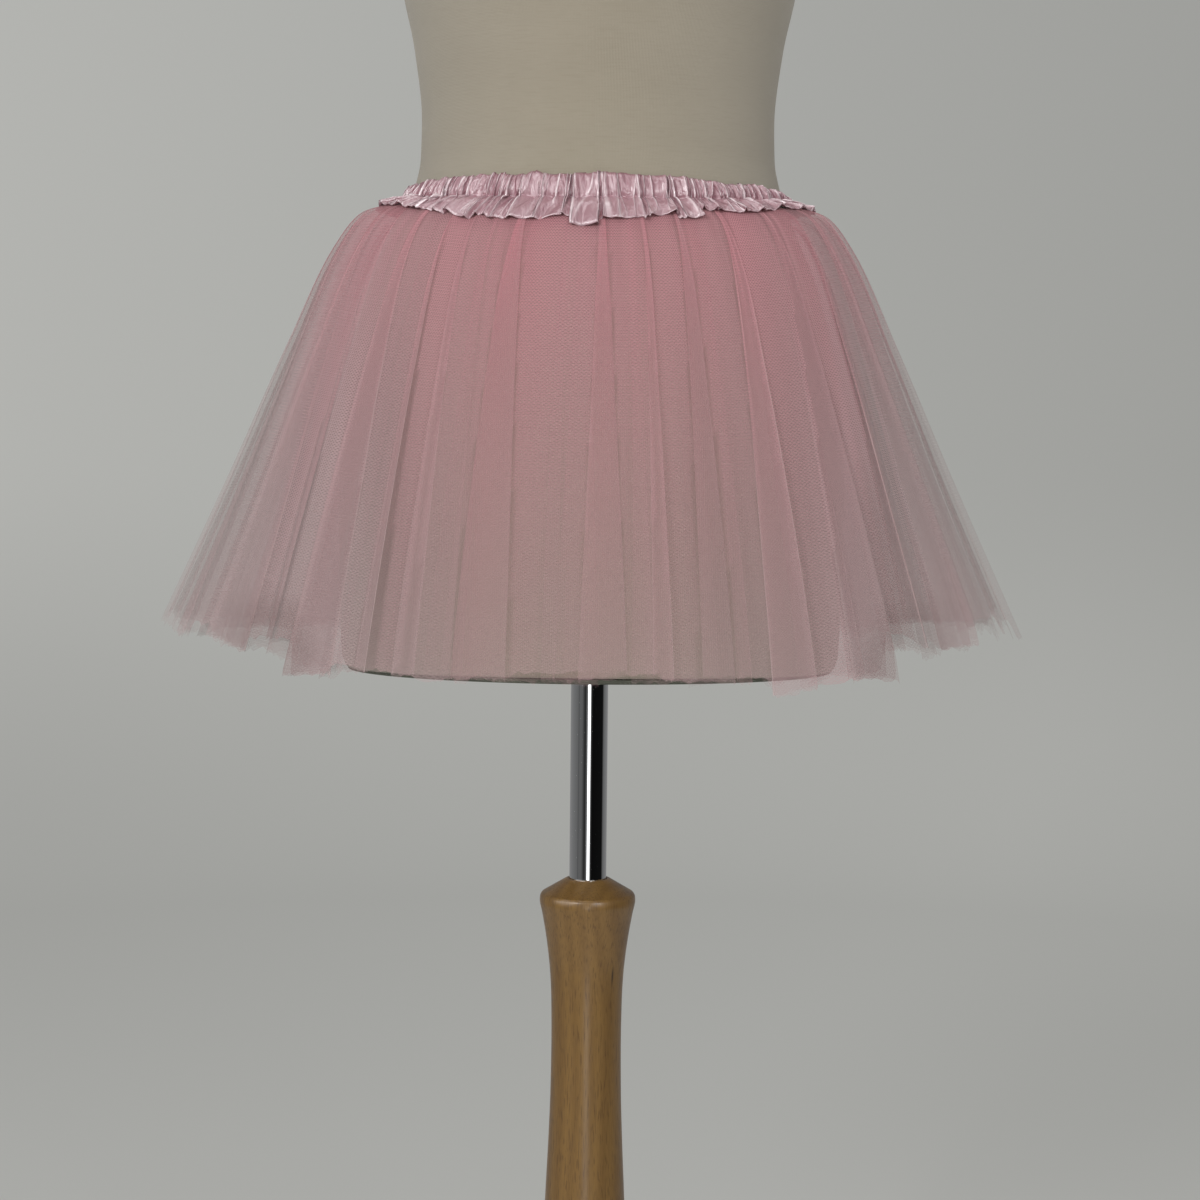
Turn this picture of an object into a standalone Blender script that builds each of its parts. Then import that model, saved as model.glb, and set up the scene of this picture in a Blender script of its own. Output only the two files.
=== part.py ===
"""Ballet tutu on a limbless dress form with a turned beech stand.

Metres, +Z up. The origin is on the floor, under the middle of the foot. The front of the form faces -Y and
+X is to the right. Angles round the body run from the front, 0 degrees, through the right side at 90.
The skirt is three gathered layers of soft net with raw hems, and a gathered satin waistband with a flounce.
"""

import math
from collections import namedtuple

import bmesh
import bpy
import numpy as np

# ---- driving dimensions -------------------------------------------------------------------------------

SEAM_GAP = 0.0004            # air between pieces that touch in the real thing
NET_WALL = 0.0010            # thickness of one net layer's wall
SATIN_WALL = 0.0012          # thickness of the flounce

CASING_HEIGHT = 0.0155       # satin channel that holds the elastic
CASING_SWELL = 0.0042        # how far the gathered channel stands off the form
GATHER_DEPTH = 0.0012        # depth of one gather of the channel
HEADING_FRILL = 0.0009       # unevenness of the channel's top edge
CASING_FOOT_SIDE = 1.0012    # height of the channel's lower edge over each hip
CASING_FOOT_FRONT = 0.9957   # and at the middle of the front and back
FLOUNCE_SHARE_SIDE = 0.037   # flounce length over each hip, as a share of the outer net layer's length
FLOUNCE_SHARE_FRONT = 0.052  # and at the middle of the front and back
FLOUNCE_LIFT = 0.0034        # height of a flounce ripple over the net
GATHERS = 88
COLUMNS_PER_GATHER = 2
GATHERS_PER_RIPPLE = 2

COLUMNS_PER_FOLD = 4
VALLEY_LIMIT = 0.0062        # deepest hollow between two folds, at the hem
SPREAD_POWER = 0.9           # how soon the layers part below the waist

POLE_RADIUS = 0.0125
POLE_CLEARANCE = 0.0005      # radial room between the pole and its bores
POLE_INSERTION = 0.0800      # length of pole inside the torso, and inside the post
POLE_COLUMNS = 24

BOARD_THICKNESS = 0.0032
BOARD_INSET = 0.0015
TORSO_COLUMNS = 32

FOOT_RADIUS = 0.1900
FOOT_THICKNESS = 0.0250
FOOT_ROUNDING = 0.0080
FOOT_BEVEL = 0.0020
FOOT_COLUMNS = 40
POST_COLUMNS = 24

# ---- tables -------------------------------------------------------------------------------------------

# Sections of the padded torso: half width, and depth before and behind the axis.
FormRing = namedtuple("FormRing", "z half_width front back")
FORM_RINGS = [
    FormRing(0.6961, 0.1635, 0.1120, 0.1180),
    FormRing(0.7005, 0.1660, 0.1145, 0.1205),
    FormRing(0.7400, 0.1675, 0.1155, 0.1235),
    FormRing(0.8000, 0.1685, 0.1145, 0.1265),
    FormRing(0.8600, 0.1665, 0.1120, 0.1265),
    FormRing(0.9100, 0.1585, 0.1075, 0.1185),
    FormRing(0.9500, 0.1470, 0.1015, 0.1065),
    FormRing(0.9800, 0.1350, 0.0955, 0.0960),
    FormRing(0.9980, 0.1275, 0.0915, 0.0900),
    FormRing(1.0130, 0.1225, 0.0885, 0.0860),
    FormRing(1.0300, 0.1192, 0.0868, 0.0835),
    FormRing(1.0550, 0.1186, 0.0870, 0.0828),
    FormRing(1.1000, 0.1234, 0.0930, 0.0868),
    FormRing(1.1400, 0.1317, 0.1010, 0.0925),
    FormRing(1.1850, 0.1385, 0.1110, 0.0965),
    FormRing(1.2250, 0.1412, 0.1165, 0.0990),
    FormRing(1.2650, 0.1420, 0.1130, 0.1005),
    FormRing(1.3100, 0.1455, 0.1000, 0.0995),
    FormRing(1.3550, 0.1540, 0.0820, 0.0930),
    FormRing(1.3850, 0.1545, 0.0700, 0.0830),
    FormRing(1.4060, 0.1390, 0.0605, 0.0715),
    FormRing(1.4230, 0.1050, 0.0530, 0.0610),
    FormRing(1.4380, 0.0720, 0.0485, 0.0540),
    FormRing(1.4560, 0.0570, 0.0465, 0.0500),
    FormRing(1.4900, 0.0535, 0.0465, 0.0475),
    FormRing(1.4980, 0.0490, 0.0425, 0.0435),
]

# Sections of the outer net layer, from the waist to the hem, by their share of the cut length. fold is the
# share of each fold's full height that has opened there.
NetRing = namedtuple("NetRing", "along side_reach side_z front_reach front_z back_reach back_z fold")
NET_RINGS = [
    NetRing(0.000, 0.1315, 0.9995, 0.0962, 0.9942, 0.0952, 0.9945, 0.00),
    NetRing(0.064, 0.1512, 0.9952, 0.1080, 0.9785, 0.1090, 0.9790, 0.05),
    NetRing(0.158, 0.1698, 0.9730, 0.1210, 0.9505, 0.1235, 0.9515, 0.18),
    NetRing(0.374, 0.1975, 0.9105, 0.1430, 0.8850, 0.1485, 0.8865, 0.45),
    NetRing(0.675, 0.2330, 0.8230, 0.1750, 0.7955, 0.1820, 0.7980, 0.75),
    NetRing(1.000, 0.2730, 0.7290, 0.2050, 0.7040, 0.2130, 0.7070, 1.00),
]

# The outer layer's folds over the front half: where each ridge leaves the waist and meets the hem, the share
# of the length at which it begins to open, how far it stands at the hem, and how much longer than the cut
# its raw hem hangs.
Fold = namedtuple("Fold", "waist_deg hem_deg opens height hem_extra")
FRONT_FOLDS = [
    Fold(-88.0, -86.0, 0.10, 0.006, 0.004),
    Fold(-83.0, -76.0, 0.00, 0.009, 0.006),
    Fold(-77.0, -66.5, 0.15, 0.006, 0.003),
    Fold(-70.0, -57.0, 0.00, 0.010, 0.004),
    Fold(-61.0, -49.0, 0.20, 0.006, 0.000),
    Fold(-51.0, -41.5, 0.00, 0.011, 0.007),
    Fold(-44.0, -34.5, 0.05, 0.006, 0.009),
    Fold(-38.0, -28.5, 0.00, 0.009, 0.004),
    Fold(-30.5, -22.0, 0.15, 0.005, 0.001),
    Fold(-23.0, -16.5, 0.00, 0.008, 0.001),
    Fold(-13.0, -10.0, 0.10, 0.009, 0.000),
    Fold(-5.0, -3.0, 0.25, 0.005, 0.000),
    Fold(3.0, 3.0, 0.05, 0.007, 0.000),
    Fold(10.5, 9.0, 0.00, 0.010, 0.000),
    Fold(18.5, 15.5, 0.10, 0.006, 0.001),
    Fold(25.0, 21.0, 0.00, 0.008, 0.001),
    Fold(31.5, 27.5, 0.20, 0.006, 0.010),
    Fold(40.0, 33.5, 0.05, 0.010, 0.013),
    Fold(48.0, 39.5, 0.00, 0.009, 0.012),
    Fold(55.0, 47.5, 0.10, 0.007, 0.002),
    Fold(62.0, 56.0, 0.00, 0.010, 0.003),
    Fold(70.0, 66.5, 0.15, 0.007, 0.001),
    Fold(79.0, 76.0, 0.00, 0.009, 0.002),
    Fold(88.0, 86.0, 0.20, 0.006, 0.003),
]
BACK_FOLDS = 16
BACK_FOLD_HEIGHT = 0.0085

# The three net layers. inset is how far a layer lies inside the outer one, at the waist and at the hem.
Layer = namedtuple("Layer", "name folds rings waist_inset hem_inset hem_rise fold_height seed")
UNDER_LAYERS = [
    Layer("tulle_middle", 30, (0, 1, 2, 3, 5), 0.0014, 0.0165, 0.002, 0.0070, 11),
    Layer("tulle_inner", 22, (0, 1, 2, 3, 5), 0.0028, 0.0320, 0.007, 0.0065, 23),
]

# Turned profile of the post above its foot: height and radius, from the shoulder down.
TurnedRing = namedtuple("TurnedRing", "z radius")
POST_RINGS = [
    TurnedRing(0.5510, 0.0144),
    TurnedRing(0.5412, 0.0308),
    TurnedRing(0.5392, 0.0320),
    TurnedRing(0.5362, 0.0323),
    TurnedRing(0.5275, 0.0306),
    TurnedRing(0.5140, 0.0282),
    TurnedRing(0.5005, 0.0263),
    TurnedRing(0.4870, 0.0249),
    TurnedRing(0.4700, 0.0240),
    TurnedRing(0.4400, 0.0236),
    TurnedRing(0.4050, 0.0240),
    TurnedRing(0.3700, 0.0252),
    TurnedRing(0.3400, 0.0266),
    TurnedRing(0.2800, 0.0292),
    TurnedRing(0.2000, 0.0318),
    TurnedRing(0.1000, 0.0338),
]

# ---- materials ----------------------------------------------------------------------------------------

Finish = namedtuple("Finish", "colour roughness metallic alpha")
FINISHES = {
    "tulle": Finish((0.74, 0.39, 0.44), 0.75, 0.0, 0.60),
    "satin": Finish((0.78, 0.47, 0.53), 0.28, 0.0, 1.0),
    "jersey": Finish((0.60, 0.53, 0.42), 0.90, 0.0, 1.0),
    "board": Finish((0.12, 0.12, 0.09), 0.60, 0.0, 1.0),
    "chrome": Finish((0.75, 0.76, 0.77), 0.08, 1.0, 1.0),
    "beech": Finish((0.37, 0.21, 0.09), 0.42, 0.0, 1.0),
}


def clear_scene():
    """Remove every object of the open file."""
    for item in list(bpy.data.objects):
        bpy.data.objects.remove(item, do_unlink=True)


def finish_material(name):
    """Return a new Principled material with one of the named finishes."""
    finish = FINISHES[name]
    made = bpy.data.materials.new(name)
    made.use_nodes = True
    shader = made.node_tree.nodes["Principled BSDF"]
    shader.inputs["Base Color"].default_value = (*finish.colour, 1.0)
    shader.inputs["Roughness"].default_value = finish.roughness
    shader.inputs["Metallic"].default_value = finish.metallic
    shader.inputs["Alpha"].default_value = finish.alpha
    return made


# ---- solids from rings and profiles -------------------------------------------------------------------

def finish_object(name, shape, finish, sharp_deg):
    """Turn a closed bmesh into a named object, with its faces outward and smooth up to a sharp angle."""
    if shape.calc_volume(signed=True) < 0.0:
        bmesh.ops.reverse_faces(shape, faces=shape.faces)
    mesh = bpy.data.meshes.new(name)
    shape.to_mesh(mesh)
    shape.free()
    mesh.shade_smooth()
    mesh.set_sharp_from_angle(angle=math.radians(sharp_deg))
    mesh.materials.append(finish_material(finish))
    made = bpy.data.objects.new(name, mesh)
    bpy.context.collection.objects.link(made)
    return made


def loft(name, rings, finish, loop, sharp_deg=40.0, turns_at=0):
    """Skin closed rings of equal length, as an array of rings by columns by 3.

    With loop, the last ring joins the first, which makes a tube of cloth. Otherwise each end ring closes on
    its own middle point. From ring number turns_at on, the rings run back along the wall's inner face, and
    the warped quads there are cut along the other diagonal, so that they match the outer face's.
    """
    shape = bmesh.new()
    verts = [[shape.verts.new(point) for point in ring] for ring in rings]
    count = len(verts[0])
    pairs = list(zip(verts, verts[1:]))
    if loop:
        pairs.append((verts[-1], verts[0]))
    for number, (low, high) in enumerate(pairs):
        for here in range(count):
            there = (here + 1) % count
            if number < turns_at:
                shape.faces.new((low[here], low[there], high[there]))
                shape.faces.new((low[here], high[there], high[here]))
            else:
                shape.faces.new((low[here], low[there], high[here]))
                shape.faces.new((low[there], high[there], high[here]))
    if not loop:
        for ring, points, turn in ((verts[0], rings[0], -1), (verts[-1], rings[-1], 1)):
            middle = shape.verts.new(np.mean(points, axis=0))
            for here in range(count):
                there = (here + turn) % count
                shape.faces.new((ring[here], ring[there], middle))
    return finish_object(name, shape, finish, sharp_deg)


def turn(name, profile, columns, finish, sharp_deg=30.0):
    """Turn a profile of (radius, z) points, from axis to axis, round +Z."""
    shape = bmesh.new()
    verts = [shape.verts.new((radius, 0.0, z)) for radius, z in profile]
    edges = [shape.edges.new(pair) for pair in zip(verts, verts[1:])]
    bmesh.ops.spin(shape, geom=verts + edges, cent=(0.0, 0.0, 0.0), axis=(0.0, 0.0, 1.0),
                   angle=2.0 * math.pi, steps=columns, use_merge=True)
    bmesh.ops.remove_doubles(shape, verts=shape.verts, dist=0.00001)
    bmesh.ops.recalc_face_normals(shape, faces=shape.faces)
    return finish_object(name, shape, finish, sharp_deg)


def oval(angles, half_width, front, back, z):
    """Points round the body at the given angles, for a section's half width and its two depths."""
    depth = np.where(np.cos(angles) > 0.0, front, back)
    x = half_width * np.sin(angles)
    y = -depth * np.cos(angles)
    return np.stack([x, y, np.broadcast_to(z, x.shape)], axis=-1)


def even_angles(columns):
    """Angles of evenly spaced columns, starting at the front."""
    return np.arange(columns) * 2.0 * math.pi / columns


# ---- dress form and stand -----------------------------------------------------------------------------

def form_reach(angles, z, outward):
    """Points over the torso's surface at the heights z, moved out by the distances outward."""
    heights = [ring.z for ring in FORM_RINGS]
    half_width = np.interp(z, heights, [ring.half_width for ring in FORM_RINGS]) + outward
    front = np.interp(z, heights, [ring.front for ring in FORM_RINGS]) + outward
    back = np.interp(z, heights, [ring.back for ring in FORM_RINGS]) + outward
    return oval(angles, half_width, front, back, z)


def build_torso():
    """Padded torso: a bore for the pole, the flat underside, the body's sections and a closed neck."""
    angles = even_angles(TORSO_COLUMNS)
    foot = FORM_RINGS[0].z
    bore = POLE_RADIUS + POLE_CLEARANCE
    rings = [oval(angles, bore, bore, bore, foot + POLE_INSERTION), oval(angles, bore, bore, bore, foot)]
    rings += [oval(angles, ring.half_width, ring.front, ring.back, ring.z) for ring in FORM_RINGS]
    neck = FORM_RINGS[-1]
    rings.append(oval(angles, 0.6 * neck.half_width, 0.6 * neck.front, 0.6 * neck.back, neck.z + 0.005))
    loft("form_torso", np.array(rings), "jersey", loop=False, sharp_deg=50.0)


def build_base_board():
    """Thin oval board under the torso, with a hole for the pole."""
    angles = even_angles(TORSO_COLUMNS)
    top = FORM_RINGS[0].z - SEAM_GAP
    foot = top - BOARD_THICKNESS
    bore = POLE_RADIUS + POLE_CLEARANCE
    edge = FORM_RINGS[0]
    sizes = (edge.half_width - BOARD_INSET, edge.front - BOARD_INSET, edge.back - BOARD_INSET)
    rings = [oval(angles, bore, bore, bore, top), oval(angles, bore, bore, bore, foot),
             oval(angles, *sizes, foot), oval(angles, *sizes, top)]
    loft("form_base_board", np.array(rings), "board", loop=True)


def build_stand():
    """Pole, turned post and round foot."""
    torso_foot = FORM_RINGS[0].z
    post_top = POST_RINGS[0].z
    bore = POLE_RADIUS + POLE_CLEARANCE
    pole_top = torso_foot + POLE_INSERTION - SEAM_GAP
    pole_foot = post_top - POLE_INSERTION + SEAM_GAP
    turn("stand_pole", [(0.0, pole_foot), (POLE_RADIUS, pole_foot), (POLE_RADIUS, pole_top), (0.0, pole_top)],
         POLE_COLUMNS, "chrome")
    post = [(0.0, post_top - POLE_INSERTION), (bore, post_top - POLE_INSERTION), (bore, post_top)]
    post += [(ring.radius, ring.z) for ring in POST_RINGS]
    post_foot = FOOT_THICKNESS + SEAM_GAP
    post += [(POST_RINGS[-1].radius, post_foot), (0.0, post_foot)]
    turn("stand_post", post, POST_COLUMNS, "beech")
    foot = [(0.0, 0.0), (FOOT_RADIUS - FOOT_BEVEL, 0.0), (FOOT_RADIUS, FOOT_BEVEL)]
    for step in range(4):
        slope = math.radians(30.0 * step)
        foot.append((FOOT_RADIUS - FOOT_ROUNDING * (1.0 - math.cos(slope)),
                     FOOT_THICKNESS - FOOT_ROUNDING * (1.0 - math.sin(slope))))
    foot.append((0.0, FOOT_THICKNESS))
    turn("stand_foot", foot, FOOT_COLUMNS, "beech")


# ---- net layers ---------------------------------------------------------------------------------------

def net_surface(angles, along):
    """Unfolded surface of the outer net layer, at angles round the body and shares of the cut length.

    Reach and height are read from the table of net rings: each quarter of the oval blends from the side's
    height to the front's or back's by the square of the cosine.
    """
    shares = [ring.along for ring in NET_RINGS]

    def read(column):
        return np.interp(along, shares, [getattr(ring, column) for ring in NET_RINGS])

    facing = np.cos(angles)
    middle_z = np.where(facing > 0.0, read("front_z"), read("back_z"))
    z = read("side_z") + (middle_z - read("side_z")) * facing ** 2
    return oval(angles, read("side_reach"), read("front_reach"), read("back_reach"), z)


def scattered_folds(count, first_deg, last_deg, height, seed):
    """Folds spread between two angles, each shifted, opened, raised and lengthened by a seeded amount."""
    chance = np.random.default_rng(seed)
    room = (last_deg - first_deg) / (count - 1)
    folds = []
    for place in np.linspace(first_deg, last_deg, count):
        hem = place + room * chance.uniform(-0.24, 0.24)
        waist = hem + room * chance.uniform(-0.20, 0.20)
        opens = chance.uniform(0.0, 0.25)
        stands = height * chance.uniform(0.55, 1.25)
        folds.append(Fold(waist, hem, opens, stands, chance.uniform(-0.002, 0.006)))
    return folds


def fold_columns(folds):
    """Columns of the net between one ridge and the next, as one Fold whose fields are arrays.

    Each fold takes a ridge, two flanks and the hollow before the next ridge. Angles are in radians.
    """
    shares = np.arange(COLUMNS_PER_FOLD) / COLUMNS_PER_FOLD
    columns = []
    for here, there in zip(folds, folds[1:] + folds[:1]):
        turn_deg = 360.0 if there.hem_deg < here.hem_deg else 0.0
        hollow = -min(VALLEY_LIMIT, 0.4 * (here.height + there.height))
        heights = (here.height, 0.2 * here.height, hollow, 0.1 * hollow)
        for share, height in zip(shares, heights):
            columns.append(Fold(
                math.radians(here.waist_deg + share * (there.waist_deg + turn_deg - here.waist_deg)),
                math.radians(here.hem_deg + share * (there.hem_deg + turn_deg - here.hem_deg)),
                here.opens + share * (there.opens - here.opens),
                height,
                here.hem_extra + share * (there.hem_extra - here.hem_extra)))
    return Fold(*np.array(columns).T)


def across(points):
    """Unit normals of a grid of rings by columns, from its differences; columns close round the body."""
    along_ring = np.roll(points, -1, axis=1) - np.roll(points, 1, axis=1)
    down = np.gradient(points, axis=0)
    normal = np.cross(along_ring, down)
    normal /= np.linalg.norm(normal, axis=-1, keepdims=True)
    outward = np.sign(np.sum(normal[..., :2] * points[..., :2], axis=(0, 1, 2)))
    return normal * outward


def build_net(name, folds, ring_numbers, waist_inset=0.0, hem_inset=0.0, hem_rise=0.0):
    """One net layer: a thin wall through its sections, with a ridge and a hollow for each fold."""
    column = fold_columns(folds)
    along = np.array([NET_RINGS[number].along for number in ring_numbers])[:, None]
    opened = np.array([NET_RINGS[number].fold for number in ring_numbers])[:, None]
    opened = opened * np.clip((along - column.opens) / (1.0 - column.opens) * 1.5, 0.0, 1.0)
    angles = column.waist_deg + (column.hem_deg - column.waist_deg) * along
    base = net_surface(angles, along)
    base[..., 2] += hem_rise * along
    inset = waist_inset + (hem_inset - waist_inset) * along ** SPREAD_POWER
    outward = np.stack([np.sin(angles), -np.cos(angles), np.zeros_like(angles)], axis=-1)
    outer = base - across(base) * inset[..., None] + outward * (column.height * opened)[..., None]
    down = outer[-1] - outer[-2]
    outer[-1] += down / np.linalg.norm(down, axis=-1, keepdims=True) * column.hem_extra[:, None]
    inner = outer - across(outer) * NET_WALL
    loft(name, np.concatenate([outer, inner[::-1]]), "tulle", loop=True, sharp_deg=60.0, turns_at=len(outer))


def build_skirt():
    """The outer layer from its table of folds, and the two layers under it."""
    folds = FRONT_FOLDS + scattered_folds(BACK_FOLDS, 96.5, 263.5, BACK_FOLD_HEIGHT, seed=5)
    build_net("tulle_outer", folds, range(len(NET_RINGS)))
    for layer in UNDER_LAYERS:
        step = 360.0 / layer.folds
        folds = scattered_folds(layer.folds, 0.0, 360.0 - step, layer.fold_height, layer.seed)
        build_net(layer.name, folds, layer.rings, layer.waist_inset, layer.hem_inset, layer.hem_rise)


# ---- waistband ----------------------------------------------------------------------------------------

def lifted_path(angles, along, lift):
    """Points over the outer net layer at shares of its length, raised by lift across its slope."""
    step = 0.01
    base = net_surface(angles, along)
    down = net_surface(angles, along + step) - base
    down /= np.linalg.norm(down, axis=-1, keepdims=True)
    round_body = np.stack([np.cos(angles), np.sin(angles), np.zeros_like(angles)], axis=-1)
    up = np.cross(down, round_body)
    up /= np.linalg.norm(up, axis=-1, keepdims=True)
    return base + up * np.asarray(lift)[..., None]


def build_waistband():
    """Gathered satin casing with its flounce, as one closed section carried round the waist."""
    count = GATHERS * COLUMNS_PER_GATHER
    chance = np.random.default_rng(7)
    pitch = 2.0 * math.pi / count
    angles = even_angles(count) + chance.uniform(-0.22, 0.22, count) * pitch
    gather = np.where(np.arange(count) % COLUMNS_PER_GATHER == 0, 1.0, -1.0)
    gather *= GATHER_DEPTH * chance.uniform(0.55, 1.25, count)
    frill = HEADING_FRILL * chance.uniform(-1.0, 1.0, count)
    per_ripple = COLUMNS_PER_GATHER * GATHERS_PER_RIPPLE
    strength = np.repeat(chance.uniform(0.45, 1.25, count // per_ripple), per_ripple)
    ripple = FLOUNCE_LIFT * strength * np.tile((0.05, 0.55, 1.0, 0.35), count // per_ripple)
    facing = np.cos(angles) ** 2
    reach = FLOUNCE_SHARE_SIDE + (FLOUNCE_SHARE_FRONT - FLOUNCE_SHARE_SIDE) * facing
    reach *= 1.0 + 0.10 * np.repeat(chance.uniform(-1.0, 1.0, count // 2), 2)
    foot = CASING_FOOT_SIDE + (CASING_FOOT_FRONT - CASING_FOOT_SIDE) * facing
    near = SEAM_GAP * 2.0
    rings = [
        form_reach(angles, foot, near),
        form_reach(angles, foot + 0.95 * CASING_HEIGHT, near),
        form_reach(angles, foot + 1.08 * CASING_HEIGHT + frill, 0.55 * CASING_SWELL),
        form_reach(angles, foot + 0.88 * CASING_HEIGHT, CASING_SWELL + 0.8 * gather),
        form_reach(angles, foot + 0.52 * CASING_HEIGHT, 1.12 * CASING_SWELL + gather),
        form_reach(angles, foot + 0.24 * CASING_HEIGHT, CASING_SWELL + 0.4 * gather),
        lifted_path(angles, 0.45 * reach, 2.0 * SATIN_WALL + 0.55 * ripple),
        lifted_path(angles, reach, SEAM_GAP * 2.0 + SATIN_WALL + ripple),
        lifted_path(angles, reach, SEAM_GAP * 2.0 + ripple),
        lifted_path(angles, 0.45 * reach, SATIN_WALL + 0.55 * ripple),
        lifted_path(angles, 0.0 * reach, np.full(count, near)),
    ]
    loft("waistband", np.array(rings), "satin", loop=True, sharp_deg=80.0)


clear_scene()
build_torso()
build_base_board()
build_stand()
build_skirt()
build_waistband()
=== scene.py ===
"""Looks of a ballet tutu on a limbless dress form with a turned beech stand.

Metres, +Z up, in the part's own frame: the origin is on the floor under the foot, the front of the form faces
-Y and +X is to the right. Angles round the body run from the front, 0, through the right side at 90 degrees.
Rows of a surface run down the piece and columns run round it.
"""

import logging
import math
from dataclasses import dataclass, field
from enum import Enum

import bpy
import numpy as np
from mathutils import Matrix, Vector


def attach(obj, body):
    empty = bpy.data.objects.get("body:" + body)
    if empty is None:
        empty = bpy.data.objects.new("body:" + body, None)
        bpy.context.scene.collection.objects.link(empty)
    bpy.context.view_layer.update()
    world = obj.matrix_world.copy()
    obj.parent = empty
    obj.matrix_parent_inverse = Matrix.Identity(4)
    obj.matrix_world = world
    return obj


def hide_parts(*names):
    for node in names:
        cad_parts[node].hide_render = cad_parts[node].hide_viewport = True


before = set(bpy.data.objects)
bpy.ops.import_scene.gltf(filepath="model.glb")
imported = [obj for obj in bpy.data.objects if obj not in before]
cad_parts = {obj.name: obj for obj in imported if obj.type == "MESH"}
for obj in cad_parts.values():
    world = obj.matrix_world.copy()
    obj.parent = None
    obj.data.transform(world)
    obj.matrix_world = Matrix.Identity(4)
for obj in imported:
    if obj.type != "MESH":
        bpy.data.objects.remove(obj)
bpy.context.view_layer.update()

BODY = "root"
log = logging.getLogger("tutu")

Triple = tuple[float, float, float]
Colour = Triple
Array = np.ndarray
TURN = 2.0 * math.pi


# ---- shader maths -------------------------------------------------------------------------------------

class Sock:
    """An output socket that arithmetic works on: each operator adds one Math node to its tree."""

    def __init__(self, tree: "Tree", link: bpy.types.NodeSocket) -> None:
        """Wrap the output socket link of the tree."""
        self.tree = tree
        self.link = link

    def maths(self, operation: str, *others: "Sock | float") -> "Sock":
        """Return this socket combined with the others by one Math operation."""
        sockets = dict(enumerate((self, *others)))
        return self.tree.add("ShaderNodeMath", {"operation": operation}, sockets, "Value")

    def __add__(self, other: "Sock | float") -> "Sock":
        """Sum."""
        return self.maths("ADD", other)

    __radd__ = __add__

    def __sub__(self, other: "Sock | float") -> "Sock":
        """Difference."""
        return self.maths("SUBTRACT", other)

    def __rsub__(self, other: float) -> "Sock":
        """Difference, number first."""
        return self.tree.add("ShaderNodeMath", {"operation": "SUBTRACT"}, {0: other, 1: self}, "Value")

    def __mul__(self, other: "Sock | float") -> "Sock":
        """Product."""
        return self.maths("MULTIPLY", other)

    __rmul__ = __mul__

    def __pow__(self, other: "Sock | float") -> "Sock":
        """Power."""
        return self.maths("POWER", other)

    def cosine(self) -> "Sock":
        """Cosine of an angle in radians."""
        return self.maths("COSINE")

    def ramp(self, low: float, high: float, low_to: float = 0.0, high_to: float = 1.0) -> "Sock":
        """Return this value eased from low..high to low_to..high_to, held beyond both.

        Args:
            low: Where the easing begins.
            high: Where it ends.
            low_to: The value up to low.
            high_to: The value from high on.

        Returns:
            The eased value.
        """
        return self.tree.add("ShaderNodeMapRange", {"interpolation_type": "SMOOTHSTEP", "clamp": True},
                             {"Value": self, "From Min": low, "From Max": high, "To Min": low_to,
                              "To Max": high_to}, "Result")


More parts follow.
